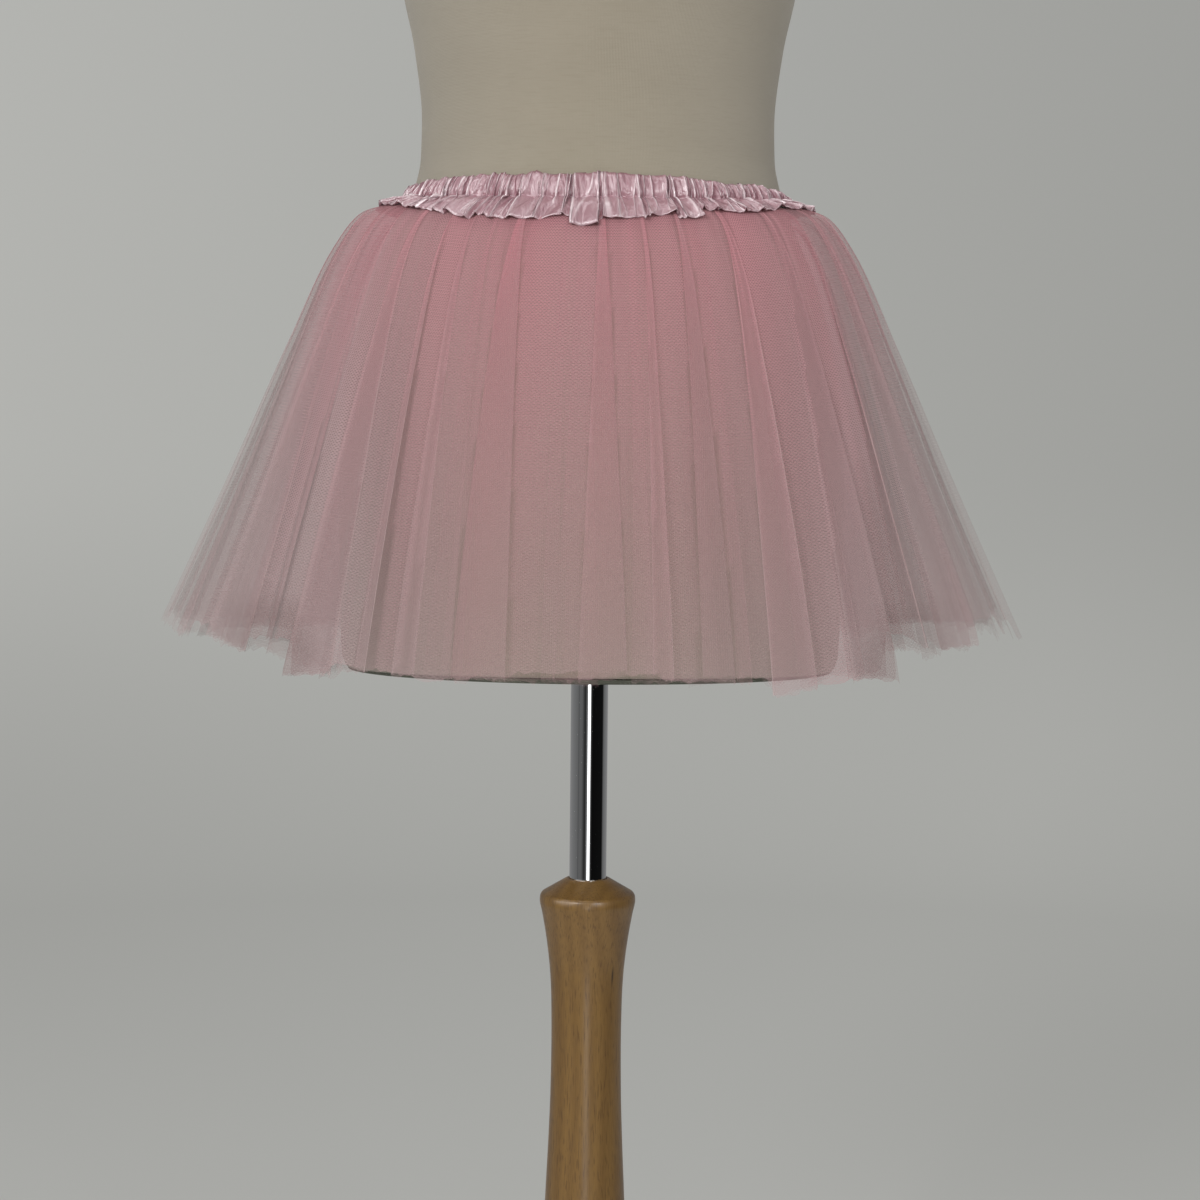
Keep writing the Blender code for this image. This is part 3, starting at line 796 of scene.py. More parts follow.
@dataclass
class DressForm:
    """Padded torso covered in jersey, and the thin board under it."""

    mean_radius: float = 0.14
    bore: float = 0.0130
    bore_depth: float = 0.0800
    neck_rise: float = 0.0050
    hem_radius: float = 0.0020
    hem_droop: float = 0.0026
    left_slimming: float = 0.0040
    slim_from: float = 0.982
    slim_over: float = 0.030
    board_gap: float = 0.0004
    board_thickness: float = 0.0032
    board_inset: float = 0.0015
    board_ease: float = 0.0005
    columns: int = 192
    rows: int = 220

    def reach(self, angles: Array, z: Array, outward: Array | float) -> Array:
        """Return points over the torso at the heights z, moved out by outward.

        Its left flank is a little slimmer from the waist up.

        Args:
            angles: Angles round the body.
            z: Heights, in the same shape.
            outward: How far beyond the cover.

        Returns:
            The points.
        """
        half_width, front, back = (size + outward for size in torso_sizes(z))
        slimmer = self.left_slimming * eased((z - self.slim_from) / self.slim_over) * (np.sin(angles) < 0.0)
        return oval(angles, half_width - slimmer, front, back, z)

    def clear(self, points: Array, gap: float) -> Array:
        """Return the points, where any nearer to the torso than gap is pushed straight out from its axis.

        Args:
            points: A cloth's points.
            gap: The least room between it and the cover.

        Returns:
            The points, clear of the cover.
        """
        half_width, front, back = (size + gap for size in torso_sizes(points[..., 2]))
        depth = np.where(points[..., 1] < 0.0, front, back)
        share = np.hypot(points[..., 0] / half_width, points[..., 1] / depth)
        held = np.where(points[..., 2] > FORM_RINGS[0].z, np.minimum(share, 1.0), 1.0)
        return points / np.stack([held, held, np.ones_like(held)], axis=-1)

    def torso(self) -> bpy.types.Object:
        """Build the torso: the neck's domed top, the sections down to a rounded rim, the flat underside
        and the bore for the pole, all as one profile of ovals closed on a middle point at both ends.

        Returns:
            The piece that stands for the torso.
        """
        angles = even_angles(self.columns)
        foot, neck = FORM_RINGS[0], FORM_RINGS[-1]
        rings = []
        for share in np.linspace(0.02, 1.0, 9)[:-1]:
            dome = neck.z + self.neck_rise * math.sqrt(1.0 - share ** 2)
            rings.append(oval(angles, share * neck.half_width, share * neck.front, share * neck.back, dome))
        for z in np.linspace(neck.z, foot.z + self.hem_radius, self.rows):
            rings.append(self.reach(angles, np.full(self.columns, z), 0.0))
        droop = self.hem_droop * np.sin(angles) ** 2
        for slope in np.linspace(0.0, 0.5 * math.pi, 7)[1:]:
            inward = self.hem_radius * (1.0 - math.cos(slope))
            z = foot.z + self.hem_radius * (1.0 - math.sin(slope))
            ring = self.reach(angles, np.full(self.columns, z), -inward)
            ring[:, 2] -= droop * math.sin(slope)
            rings.append(ring)
        for share in (0.6, 0.3):
            rings.append(oval(angles, self.bore + share * (foot.half_width - self.bore),
                              self.bore + share * (foot.front - self.bore),
                              self.bore + share * (foot.back - self.bore), foot.z))
        for z in (foot.z, foot.z + self.bore_depth):
            rings.append(oval(angles, self.bore, self.bore, self.bore, z))
        points = np.array(rings)
        down = running_total(np.linalg.norm(np.diff(points, axis=0), axis=-1).mean(axis=1))
        cut = cut_grid(TURN * self.mean_radius, self.columns, down[:, None])
        made = Surface(points, cut, Run.DOWN, Ends.POLES).make("form_cover",
                                                               JerseyFinish().material("jersey"))
        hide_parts("form_torso")
        return made

    def board(self) -> bpy.types.Object:
        """Build the board as one closed loop of ovals: hole, underside, edge and top.

        Returns:
            The piece that stands for the board.
        """
        angles = even_angles(self.columns)
        edge = FORM_RINGS[0]
        top = edge.z - self.board_gap
        foot = top - self.board_thickness
        ease = self.board_ease
        rings = [oval(angles, self.bore, self.bore, self.bore, z) for z in (top, foot)]
        for inset, z in ((ease, foot), (0.0, foot + ease), (0.0, top - ease), (ease, top)):
            back = self.board_inset + inset
            rings.append(oval(angles, edge.half_width - back, edge.front - back, edge.back - back, z))
        cut = np.zeros((len(rings) + 1, self.columns + 1, 2))
        made = Surface(np.array(rings), cut, Run.UP, Ends.LOOP).make("base_board",
                                                                     BoardFinish().material("board"))
        made.data.set_sharp_from_angle(angle=math.radians(35.0))
        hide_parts("form_base_board")
        return made


@dataclass(frozen=True)
class TurnedRing:
    """One step of a turned profile: its height and radius."""

    z: float
    radius: float


@dataclass
class Stand:
    """Chrome pole, turned beech post and round beech foot."""

    pole_radius: float = 0.0125
    bore: float = 0.0130
    insertion: float = 0.0800
    foot_radius: float = 0.1900
    foot_thickness: float = 0.0250
    foot_rounding: float = 0.0080
    foot_bevel: float = 0.0020
    gap: float = 0.0004
    axis: float = 0.0002
    edge: float = 0.0005
    lip: float = 0.0004
    columns: int = 128
    post_rings: tuple[TurnedRing, ...] = tuple(TurnedRing(*row) for row in (
        (0.5510, 0.0144), (0.5412, 0.0308), (0.5392, 0.0320), (0.5362, 0.0323), (0.5275, 0.0306),
        (0.5140, 0.0282), (0.5005, 0.0263), (0.4870, 0.0249), (0.4700, 0.0240), (0.4400, 0.0236),
        (0.4050, 0.0240), (0.3700, 0.0252), (0.3400, 0.0266), (0.2800, 0.0292), (0.2000, 0.0318),
        (0.1000, 0.0338)))

    def turned(self, name: str, profile: list[tuple[float, float]], material: bpy.types.Material, node: str,
               slot: str) -> bpy.types.Object:
        """Turn a profile of (radius, z) points, from the top's axis down to the foot's, round +Z.

        Args:
            name: The piece's name.
            profile: The points.
            material: Its finish.
            node: The solid that it stands for.
            slot: The slot of its colour. Not used.

        Returns:
            The piece that stands for the node.
        """
        angles = even_angles(self.columns)
        radius, z = np.array(profile).T
        down = running_total(np.hypot(np.diff(radius), np.diff(z)))
        cut = cut_grid(TURN * radius.max(), self.columns, down[:, None])
        made = Surface(circles(angles, radius, z), cut, Run.DOWN, Ends.POLES).make(name, material)
        made.data.set_sharp_from_angle(angle=math.radians(32.0))
        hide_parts(node)
        return made

    def pole(self) -> bpy.types.Object:
        """Build the pole, which ends inside the torso and inside the post.

        Returns:
            The piece that stands for the pole.
        """
        top = FORM_RINGS[0].z + self.insertion - self.gap
        foot = self.post_rings[0].z - self.insertion + self.gap
        radius, edge = self.pole_radius, self.edge
        profile = [(self.axis, top), (radius - edge, top), (radius, top - edge)]
        profile += [(radius, z) for z in np.linspace(top - 2.0 * edge, foot + 2.0 * edge, 40)]
        profile += [(radius, foot + edge), (radius - edge, foot), (self.axis, foot)]
        return self.turned("chrome_pole", profile, ChromeFinish().material("chrome"), "stand_pole", "chrome")

    def post(self, beech: bpy.types.Material) -> bpy.types.Object:
        """Build the post: bore, flat top, cone, rounded collar and the long swelling below it.

        Args:
            beech: The wood's finish.

        Returns:
            The piece that stands for the post.
        """
        rings = self.post_rings
        top, cone = rings[0], rings[1]
        profile = [(self.axis, top.z - self.insertion), (self.bore, top.z - self.insertion),
                   (self.bore, top.z - self.lip), (self.bore + self.lip, top.z),
                   (top.radius - 0.0003, top.z), (top.radius + 0.0004, top.z - 0.0003)]
        profile += zip(np.linspace(top.radius + 0.001, cone.radius - 0.0006, 8),
                       np.linspace(top.z - 0.0006, cone.z + 0.0004, 8))
        upwards = rings[:0:-1]
        collar, swelling = np.linspace(cone.z, 0.535, 14), np.linspace(0.533, rings[-1].z, 90)
        down = np.concatenate([collar, swelling])
        profile += zip(smooth(down, [ring.z for ring in upwards], [ring.radius for ring in upwards]), down)
        post_foot = self.foot_thickness + self.gap
        profile += [(rings[-1].radius, post_foot + 0.001), (rings[-1].radius - 0.001, post_foot),
                    (self.axis, post_foot)]
        return self.turned("beech_post", profile, beech, "stand_post", "beech")

    def foot(self, beech: bpy.types.Material) -> bpy.types.Object:
        """Build the foot: a thick disc with a rounded upper edge and a small bevel below.

        Args:
            beech: The wood's finish.

        Returns:
            The piece that stands for the foot.
        """
        profile = [(self.axis, self.foot_thickness)]
        profile += [(r, self.foot_thickness) for r in np.linspace(0.03, self.foot_radius - 0.0085, 12)]
        for slope in np.linspace(0.5 * math.pi, 0.0, 10):
            profile.append((self.foot_radius - self.foot_rounding * (1.0 - math.cos(slope)),
                            self.foot_thickness - self.foot_rounding * (1.0 - math.sin(slope))))
        profile += [(self.foot_radius, self.foot_bevel), (self.foot_radius - self.foot_bevel, 0.0),
                    (self.axis, 0.0)]
        return self.turned("beech_foot", profile, beech, "stand_foot", "beech")


# ---- net layers ---------------------------------------------------------------------------------------

@dataclass(frozen=True)
class NetRing:
    """Section of the outer net at a share of its cut length: reach and height at side, front and back."""

    along: float
    side_reach: float
    side_z: float
    front_reach: float
    front_z: float
    back_reach: float
    back_z: float


NET_RINGS = [NetRing(*row) for row in (
    (0.000, 0.1315, 0.9995, 0.0962, 0.9942, 0.0952, 0.9945),
    (0.064, 0.1512, 0.9952, 0.1080, 0.9785, 0.1090, 0.9790),
    (0.158, 0.1698, 0.9730, 0.1210, 0.9505, 0.1235, 0.9515),
    (0.374, 0.1975, 0.9105, 0.1430, 0.8850, 0.1485, 0.8865),
    (0.675, 0.2330, 0.8230, 0.1750, 0.7955, 0.1820, 0.7980),
    (1.000, 0.2730, 0.7290, 0.2050, 0.7040, 0.2130, 0.7070))]


def net_surface(angles: Array, along: Array) -> Array:
    """Return the unfolded outer layer.

    Its sections are read smoothly, and its height blends from side to front or back by the squared cosine.

    Args:
        angles: Angles round the body.
        along: Shares of the cut length.

    Returns:
        The points, with x, y and z last.
    """
    shares = [ring.along for ring in NET_RINGS]
    side, side_z, front, front_z, back, back_z = (
        smooth(along, shares, [getattr(ring, key) for ring in NET_RINGS])
        for key in ("side_reach", "side_z", "front_reach", "front_z", "back_reach", "back_z"))
    z = side_to_front(side_z, np.where(np.cos(angles) > 0.0, front_z, back_z), angles)
    return oval(angles, side, front, back, z)


def net_normal(angles: Array, along: Array) -> Array:
    """Return the unfolded layer's outward unit normals, from its steps round the body and down the cloth.

    Args:
        angles: Angles round the body.
        along: Shares of the cut length.

    Returns:
        The normals, with x, y and z last.
    """
    step = 0.004
    round_body = net_surface(angles + step, along) - net_surface(angles - step, along)
    down = net_surface(angles, along + step) - net_surface(angles, along - step)
    return -unit(np.cross(round_body, down))


@dataclass(frozen=True)
class Fold:
    """A pressed fold, where the cloth doubles back on itself in a strip with two crisp edges.

    left and right are the strip's edges at the hem, in degrees round the body. opens is the share of the
    length at which it begins to stand out, height how far it stands at the hem, extra how much longer its raw
    hem hangs, and lean which edge lies on top: -1 the left one, 1 the right one, 0 both.
    """

    left: float
    right: float
    opens: float
    height: float
    extra: float
    lean: float


def seeded_folds(count: int, first: float, last: float, height: float, seed: int, narrow: float = 0.06,
                 wide: float = 0.30, extra: tuple[float, float] = (-0.001, 0.006),
                 jitter: float = 0.20) -> list[Fold]:
    """Return folds spread between two angles, with their places, widths and heights seeded.

    Args:
        count: How many.
        first: The first angle in degrees.
        last: The last angle in degrees.
        height: How far a middling fold stands.
        seed: The seed.
        narrow: Half the narrowest strip, as a share of a fold's room.
        wide: Half the widest strip, as a share of a fold's room.
        extra: The least and the most that a fold's hem hangs longer.
        jitter: How far a fold shifts, as a share of its room.

    Returns:
        The folds, in order of their angles.
    """
    chance = np.random.default_rng(seed)
    room = (last - first) / count
    folds = []
    for middle in first + room * (np.arange(count) + 0.5):
        middle += room * chance.uniform(-jitter, jitter)
        half = room * chance.uniform(narrow, wide)
        folds.append(Fold(middle - half, middle + half, chance.uniform(0.0, 0.2),
                          height * chance.uniform(0.6, 1.25), chance.uniform(*extra),
                          chance.uniform(-1.0, 1.0)))
    return folds


class Pleating:
    """The columns of a cloth shared out among its folds.

    A fold reaches from half way to its left neighbour to half way to its right one. Its columns are in
    proportion to the cloth it takes, which is that width and twice its strip's. Within it the phase runs
    from -pi to pi, evenly, with the strip at its middle.
    """

    def __init__(self, folds: list[Fold], columns: int) -> None:
        """Work out each column's phase, the strip's middle, the half width on its side and its fold's number,
        with angles in radians round the body at the hem.

        Args:
            folds: The folds, in order of their angles, over one turn.
            columns: How many columns the cloth has.
        """
        left = np.radians([fold.left for fold in folds])
        right = np.radians([fold.right for fold in folds])
        middle, strip = 0.5 * (left + right), right - left
        after = 0.5 * (np.append(middle[1:], middle[0] + TURN) - middle)
        before = np.roll(after, 1)
        taken = before + after + 2.0 * strip
        ends = running_total(taken) / taken.sum()
        place = (np.arange(columns) + 0.5) / columns
        self.folds = folds
        self.number = np.searchsorted(ends, place, side="right") - 1
        share = (place - ends[self.number]) / (ends[self.number + 1] - ends[self.number])
        self.phase = math.pi * (2.0 * share - 1.0)
        self.middle = middle[self.number]
        self.width = np.where(self.phase < 0.0, before[self.number], after[self.number])
        self.strip = strip[self.number]

    def read(self, key: str) -> Array:
        """Return one field of the folds for every column."""
        return np.array([getattr(fold, key) for fold in self.folds])[self.number]

    def seeded(self, low: float, high: float, seed: int) -> Array:
        """Return a seeded amount of each fold for every column."""
        return np.random.default_rng(seed).uniform(low, high, len(self.folds))[self.number]

    def angle(self, spread: Array | float, pull: Array | float = 1.0) -> Array:
        """Return the place round the body, where the cloth doubles back over a share of each strip.

        It is width * phase / pi - swing * sin(phase), which turns back between phases of plus and minus
        acos(1 / k) for k = swing * pi / width, and that stretch is 2 * width / pi times
        (sqrt(k^2 - 1) - acos(1 / k)) wide. k is read from a table of this formula.

        Args:
            spread: The share of each strip that is doubled: at 0 the fold is a single sharp crease.
            pull: What the swing is multiplied by, which softens the crease below 1.

        Returns:
            The angle of every column, in radians.
        """
        k = np.linspace(1.0, 8.0, 300)
        wide = 2.0 / math.pi * (np.sqrt(k * k - 1.0) - np.arccos(1.0 / k))
        swing = pull * np.interp(spread * self.strip / self.width, wide, k) * self.width / math.pi
        return self.middle + self.width * self.phase / math.pi - swing * np.sin(self.phase)

    def doubled(self, spread: Array | float) -> Array:
        """Return 1 where a column lies within the doubled part of its strip, and otherwise 0."""
        return (np.abs(self.angle(spread) - self.middle) < 0.5 * spread * self.strip).astype(float)


FRONT_FOLDS = [Fold(*row) for row in (
    (-86.5, -79.5, 0.05, 0.0050, 0.0, -0.6),
    (-70.5, -63.5, 0.10, 0.0055, 0.0, 0.8),
    (-57.0, -49.0, 0.00, 0.0055, 0.0, -0.9),
    (-45.0, -43.2, 0.20, 0.0035, 0.0, 0.9),
    (-39.5, -33.4, 0.00, 0.0065, 0.0, -0.8),
    (-29.0, -27.0, 0.15, 0.0040, 0.0, 0.5),
    (-24.0, -22.0, 0.10, 0.0045, 0.0, -0.9),
    (-17.0, -9.8, 0.05, 0.0055, 0.0, 0.9),
    (-1.0, 4.5, 0.15, 0.0045, 0.0, -0.4),
    (8.0, 10.0, 0.00, 0.0050, 0.0, 0.8),
    (13.5, 18.0, 0.05, 0.0050, 0.0, -0.7),
    (22.4, 28.2, 0.05, 0.0065, 0.0, 0.6),
    (34.0, 40.5, 0.00, 0.0080, 0.0, 0.9),
    (46.5, 48.5, 0.10, 0.0040, 0.0, -0.8),
    (52.5, 59.0, 0.00, 0.0060, 0.0, 0.9),
    (67.0, 69.0, 0.15, 0.0040, 0.0, -0.5),
    (77.0, 84.0, 0.00, 0.0055, 0.0, 0.7))]


@dataclass(frozen=True)
class HemStep:
    """One corner of an uneven hem: its angle in degrees and how much longer the cloth hangs there."""

    angle: float
    longer: float


def hanging(steps: list[HemStep], angle: Array) -> Array:
    """Return how much longer the cloth hangs, in a straight line from each step to the next."""
    degrees = np.degrees((angle + math.pi) % TURN - math.pi)
    return np.interp(degrees, [step.angle for step in steps], [step.longer for step in steps])


# The uneven hem of the skirt.
HEM_STEPS = [HemStep(*row) for row in (
    (-180.0, 0.0060), (-150.0, 0.0130), (-120.0, 0.0150), (-100.0, 0.0085), (-91.0, 0.0000), (-80.0, 0.0032),
    (-64.0, 0.0040), (-63.0, -0.0055), (-57.8, -0.0060), (-57.0, 0.0008), (-49.0, 0.0042), (-48.4, -0.0045),
    (-41.0, -0.0095), (-39.8, -0.0065), (-39.4, 0.0120),
    (-33.6, 0.0085), (-32.8, 0.0000), (-24.0, 0.0025), (-14.5, 0.0030), (-14.0, 0.0005), (-9.4, 0.0000),
    (-8.8, -0.0038), (8.4, -0.0038), (9.0, 0.0000), (22.0, 0.0012), (22.6, 0.0135), (25.0, 0.0130),
    (25.4, 0.0105), (31.2, 0.0100), (33.6, 0.0085), (40.3, 0.0115), (40.9, -0.0170), (45.0, -0.0120),
    (48.5, -0.0030), (50.0, 0.0010), (58.7, 0.0025), (59.2, -0.0130), (68.5, -0.0110), (69.5, 0.0030),
    (71.0, 0.0030), (72.0, -0.0060), (77.5, -0.0040), (78.5, 0.0105), (86.0, 0.0120), (92.0, 0.0040),
    (115.0, 0.0050), (150.0, 0.0070), (180.0, 0.0060))]


@dataclass(frozen=True)
class Gathers:
    """A set of gathers: the least and most waves round the body, their sway in radians and their height."""

    counts: tuple[int, int]
    sway: float
    height: float


@dataclass
class NetLayer:
    """One gathered layer of net, as a closed sheet round the body.

    The insets are how far it lies inside the outer layer at the waist and at the hem, hem_rise is how far its
    hem is raised, and tuck is how much the stitched edge is drawn in.
    """

    form: DressForm
    name: str
    node: str
    folds: list[Fold]
    seed: int
    cut_width: float
    cut_length: float = 0.3150
    waist_inset: float = 0.0
    hem_inset: float = 0.0
    hem_rise: float = 0.0
    tuck: float = 0.0024
    form_gap: float = 0.0006
    columns: int = 1600
    rows: int = 60
    tiny: Gathers = Gathers((150, 210), 0.0026, 0.0003)
    small: Gathers = Gathers((60, 110), 0.0034, 0.0006)
    broad: Gathers = Gathers((26, 52), 0.0050, 0.0014)
    bulge: float = 0.0080
    uneven: float = 1.0
    sparing: float = 0.52
    fan_deg: float = 9.0
    ragged: float = 0.0012
    gap_deg: float = 44.5
    gap_half_deg: float = 3.2
    veil_at: float = 0.165
    veil_width: float = 0.032
    veiled: float = 0.60
    clear_from: float = 0.148
    clear_over: float = 0.030
    side_shade: float = 0.60
    packing: float = 0.75
    density: float = 1.0

    def points(self) -> tuple[Array, Array, dict[str, Array]]:
        """Work out the layer's points, how far down the cloth they lie and what its material reads.

        The cloth swings to and fro round the body as its folds do, and in and out by cos(phase + lean), which
        makes a strip of three plies with a crisp edge on each side. Towards the waist it fans out by the sine
        of twice its angle. The layer lies inside the outer one by an inset that grows with the length to the
        power 0.9, and its rows hang on by the hem's steps times the length to the power 5.

        Returns:
            The points, the metres down the cloth and the numbers that shades gives.
        """
        pleats = Pleating(self.folds, self.columns)
        along = self.row_shares()[:, None]
        sway, rise = self.gathered(along)
        opened = eased((along - 0.6 * pleats.read("opens") + 0.12) / 0.9)
        spread = (0.50 + 0.50 * along ** 0.8) * (0.60 + 0.40 * opened)
        hem_angle = pleats.angle(spread, 0.80 + 0.20 * eased(along * 4.0))
        front = 1.0 - 0.55 * np.sin(hem_angle) ** 2
        angle = hem_angle + math.radians(self.fan_deg) * np.sin(2.0 * hem_angle) * (1.0 - along)
        angle = angle + front * sway
        base = net_surface(angle, np.broadcast_to(along, angle.shape))
        base[..., 2] += self.hem_rise * along
        inset = self.waist_inset + (self.hem_inset - self.waist_inset) * along ** 0.9
        inset = inset + self.tuck * np.clip(1.0 - along / 0.04, 0.0, 1.0) ** 2
        lean = pleats.read("lean") * 0.5 * math.pi
        stands = pleats.read("height") * (0.10 + 0.90 * along ** 0.8) * opened * front
        out = stands * (np.cos(pleats.phase + lean) + np.cos(lean) - 0.55)
        out = out + self.bulge * along * (1.0 - 0.08 * np.sin(angle)) + front * rise
        outward = np.stack([np.sin(angle), -np.cos(angle), np.zeros_like(angle)], axis=-1)
        normal = net_normal(angle, np.broadcast_to(along, angle.shape))
        points = base - normal * inset[..., None] + outward * out[..., None]
        points = self.form.clear(points, self.form_gap)
        down = unit(points[-1] - points[-4])
        longer = along ** 5 * self.hem_steps(pleats, angle[-1])
        longer[-1] += self.ragged_edge()
        points = points + down * longer[..., None]
        shades = self.shades(points, angle, hem_angle, along)
        spared = self.sparing * side_to_front(0.60, 1.0, hem_angle) * pleats.doubled(spread)
        spared = spared * (0.15 + 0.85 * eased(3.0 * along))
        shades["crowding"] *= 1.0 - spared * (1.0 - shades["crease"])
        return points, self.cut_length * along + longer, shades

    def gathered(self, along: Array) -> tuple[Array, Array]:
        """Work out the gathers, each set as seeded waves times its own course down the cloth.

        The tiny ones die out from the waist by the rest of the length to the power 1.6. The small ones sway
        like them but stand out most by mid length. The broad ones grow with the length and drift a little.

        Args:
            along: The rows' shares of the cut length.

        Returns:
            How far the cloth sways, in radians, and how far it stands out.
        """
        turns = (np.arange(self.columns) + 0.5) / self.columns
        tiny, small, broad = self.tiny, self.small, self.broad
        waist = (1.0 - along) ** 1.6
        middling = eased(along * 3.0) * (1.10 - along)
        sway = (tiny.sway * ripples(turns, tiny.counts, self.seed + 1) * waist
                + small.sway * ripples(turns, small.counts, self.seed + 2) * (waist + 0.12 * along)
                + broad.sway * ripples(turns + 0.004 * along, broad.counts, self.seed + 4) * along)
        rise = (tiny.height * ripples(turns, tiny.counts, self.seed + 5) * waist
                + small.height * ripples(turns, small.counts, self.seed + 6) * middling
                + broad.height * ripples(turns, broad.counts, self.seed + 7) * along)
        return sway, rise

    def row_shares(self) -> Array:
        """Return the rows' shares of the length: closer at the waist, and a short row along the raw edge.

        Returns:
            The shares, from 0 at the waist to 1 at the hem.
        """
        even = np.linspace(0.0, 1.0, self.rows - 1)
        shares = 0.55 * even + 0.45 * even ** 1.6
        return np.append(shares[:-1], [1.0 - 0.0016 / self.cut_length, 1.0])

    def hem_steps(self, pleats: Pleating, angle: Array) -> Array:
        """Return how much longer the hem hangs: the skirt's steps and each fold's own length, cut askew
        across the fold so that neighbouring folds end in steps and corners.

        Args:
            pleats: The layer's folds.
            angle: The hem's angles round the body.

        Returns:
            The metres that each column hangs longer.
        """
        askew = pleats.seeded(-0.0030, 0.0030, self.seed + 20)
        own = pleats.read("extra") * eased(1.6 * np.cos(0.5 * pleats.phase))
        return self.uneven * hanging(HEM_STEPS, angle) + own + askew * np.sin(pleats.phase)

    def ragged_edge(self) -> Array:
        """Return the raw edge's unevenness: broken threads of seeded lengths.

        Returns:
            The metres that each column's last row hangs longer.
        """
        chance = np.random.default_rng(self.seed + 30)
        uneven = chance.uniform(-1.0, 1.0, self.columns)
        return self.ragged * (uneven + 1.5 * (chance.random(self.columns) > 0.93))

    def shades(self, points: Array, angle: Array, hem_angle: Array, along: Array) -> dict[str, Array]:
        """Return the numbers that the net's material reads.

        crowding is one over how squarely the cloth faces out from the body, with more near the waist, where
        gathers too fine for the grid are packed together, at the back, over the form's outline and below it.
        The greying rises towards the hem and the sides as painted shade, and varies in soft random streaks.
        The painted shade darkens the gap beside the front's right panel, the hem hanging clear of the form
        and a little of the form's outline. crease is a painted highlight where the cloth turns edge on.

        Args:
            points: The layer's points.
            angle: Their angles round the body.
            hem_angle: The same angles without the fan and the gathers.
            along: Their shares of the cut length.

        Returns:
            Each number at every point, by its name.
        """
        turns = np.arange(self.columns) / self.columns
        beside = np.roll(points, -1, axis=1) - np.roll(points, 1, axis=1)
        normal = np.cross(beside, np.gradient(points, axis=0))
        sine, cosine = np.sin(angle), np.cos(angle)
        outward = np.abs(normal[..., 0] * sine - normal[..., 1] * cosine)
        sideways = np.abs(normal[..., 0] * cosine + normal[..., 1] * sine)
        facing = outward / np.maximum(np.hypot(outward, sideways), 1e-12)
        patchy = 1.0 + 0.06 * ripples(turns + 0.01 * along, (10, 70), self.seed + 8)
        aside = sine ** 2
        packed = 1.0 + (self.packing - 0.30 * aside) * (1.0 - along) ** 1.6
        sides = 1.0 + 0.90 * (0.3 + 0.7 * along) * (aside - 1.40 * aside ** 3)
        wide = np.abs(points[..., 0])
        veil = np.exp(-((wide - self.veil_at) / self.veil_width) ** 2) * eased((cosine - 0.30) / 0.30)
        veil = veil * eased(2.0 * along)
        below = eased((FORM_RINGS[0].z - 0.004 - points[..., 2]) / 0.004)
        crowding = self.density * patchy * packed * sides * (1.0 + 0.12 * eased(-3.0 * cosine))
        crowding = crowding * (1.0 + self.veiled * np.maximum(veil, below))
        crowding = crowding / np.maximum(facing, 0.55)
        # Greying: painted shade towards the hem and the sides, with random streaks of tone.
        grey_and_shade = np.clip(0.14 + 0.68 * along ** 1.2 + aside * (0.24 + 0.34 * eased(1.8 * along))
                        + 0.08 * ripples(turns, (8, 60), self.seed + 9), 0.0, 1.0)
        # Painted shade in the gap beside the front's right panel.
        gap = np.exp(-((np.degrees(hem_angle) - self.gap_deg) / self.gap_half_deg) ** 4)
        gap = gap * eased((along - 0.45) / 0.3)
        low = eased((along - 0.86) / 0.10) * eased((np.cos(hem_angle) - 0.50) / 0.20)
        # Painted shade where the hem hangs clear of the form.
        clear = np.maximum(eased((wide - self.clear_from) / self.clear_over) * (0.06 + 0.94 * low), below)
        # All the painted shade, with a little over the form's outline.
        painted_shade = np.maximum(np.maximum(0.40 * gap, self.side_shade * clear), 0.16 * veil)
        # Painted highlight where the cloth turns edge on.
        crease = (0.80 - 0.50 * aside) * eased((0.56 - facing) / 0.4) * (0.15 + 0.85 * eased(1.8 * along))
        return {"crowding": crowding, "grey_and_shade": grey_and_shade, "painted_shade": painted_shade, "crease": crease}

    def build(self, material: bpy.types.Material) -> bpy.types.Object:
        """Args:
            material: The net's finish.

        Returns:
            The piece that stands for the layer's node.
        """
        points, down, shades = self.points()
        cut = cut_grid(self.cut_width, self.columns, np.concatenate([down, down[:, :1]], axis=1))
        made = Surface(points, cut, Run.DOWN, Ends.OPEN, shades).make(self.name, material)
        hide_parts(self.node)
        return made


@dataclass
class Skirt:
    """Three gathered layers of net, one over the other."""

    form: DressForm
    back_folds: int = 14
    back_height: float = 0.0055
    middle_folds: int = 28
    inner_folds: int = 22
    under_height: float = 0.0034

    def layers(self) -> list[NetLayer]:
        """Return the three layers, from the outside in.

        Returns:
            The layers, not yet built.
        """
        outer = FRONT_FOLDS + seeded_folds(self.back_folds, 91.0, 268.0, self.back_height, 5,
                                           extra=(-0.010, 0.010))
        middle = seeded_folds(self.middle_folds, 2.0, 362.0, self.under_height, 11, narrow=0.03, wide=0.18)
        inner = seeded_folds(self.inner_folds, 5.0, 365.0, self.under_height, 23, narrow=0.03, wide=0.18)
        return [
            NetLayer(self.form, "net_outer", "tulle_outer", outer, 100, 2.05, density=1.45),
            NetLayer(self.form, "net_middle", "tulle_middle", middle, 200, 1.95, waist_inset=0.0014,
                     hem_inset=0.0070, hem_rise=0.001, tuck=0.0014, columns=1300, rows=46, uneven=0.35,
                     density=0.72),
            NetLayer(self.form, "net_inner", "tulle_inner", inner, 300, 1.80, waist_inset=0.0028,
                     hem_inset=0.0140, hem_rise=0.004, tuck=0.0004, columns=1200, rows=46, uneven=0.60,
                     density=0.62)]

    def build(self) -> list[bpy.types.Object]:
        """Build every layer in the one net finish."""
        net = NetFinish().material("tulle")
        return [layer.build(net) for layer in self.layers()]


# ---- waistband ----------------------------------------------------------------------------------------

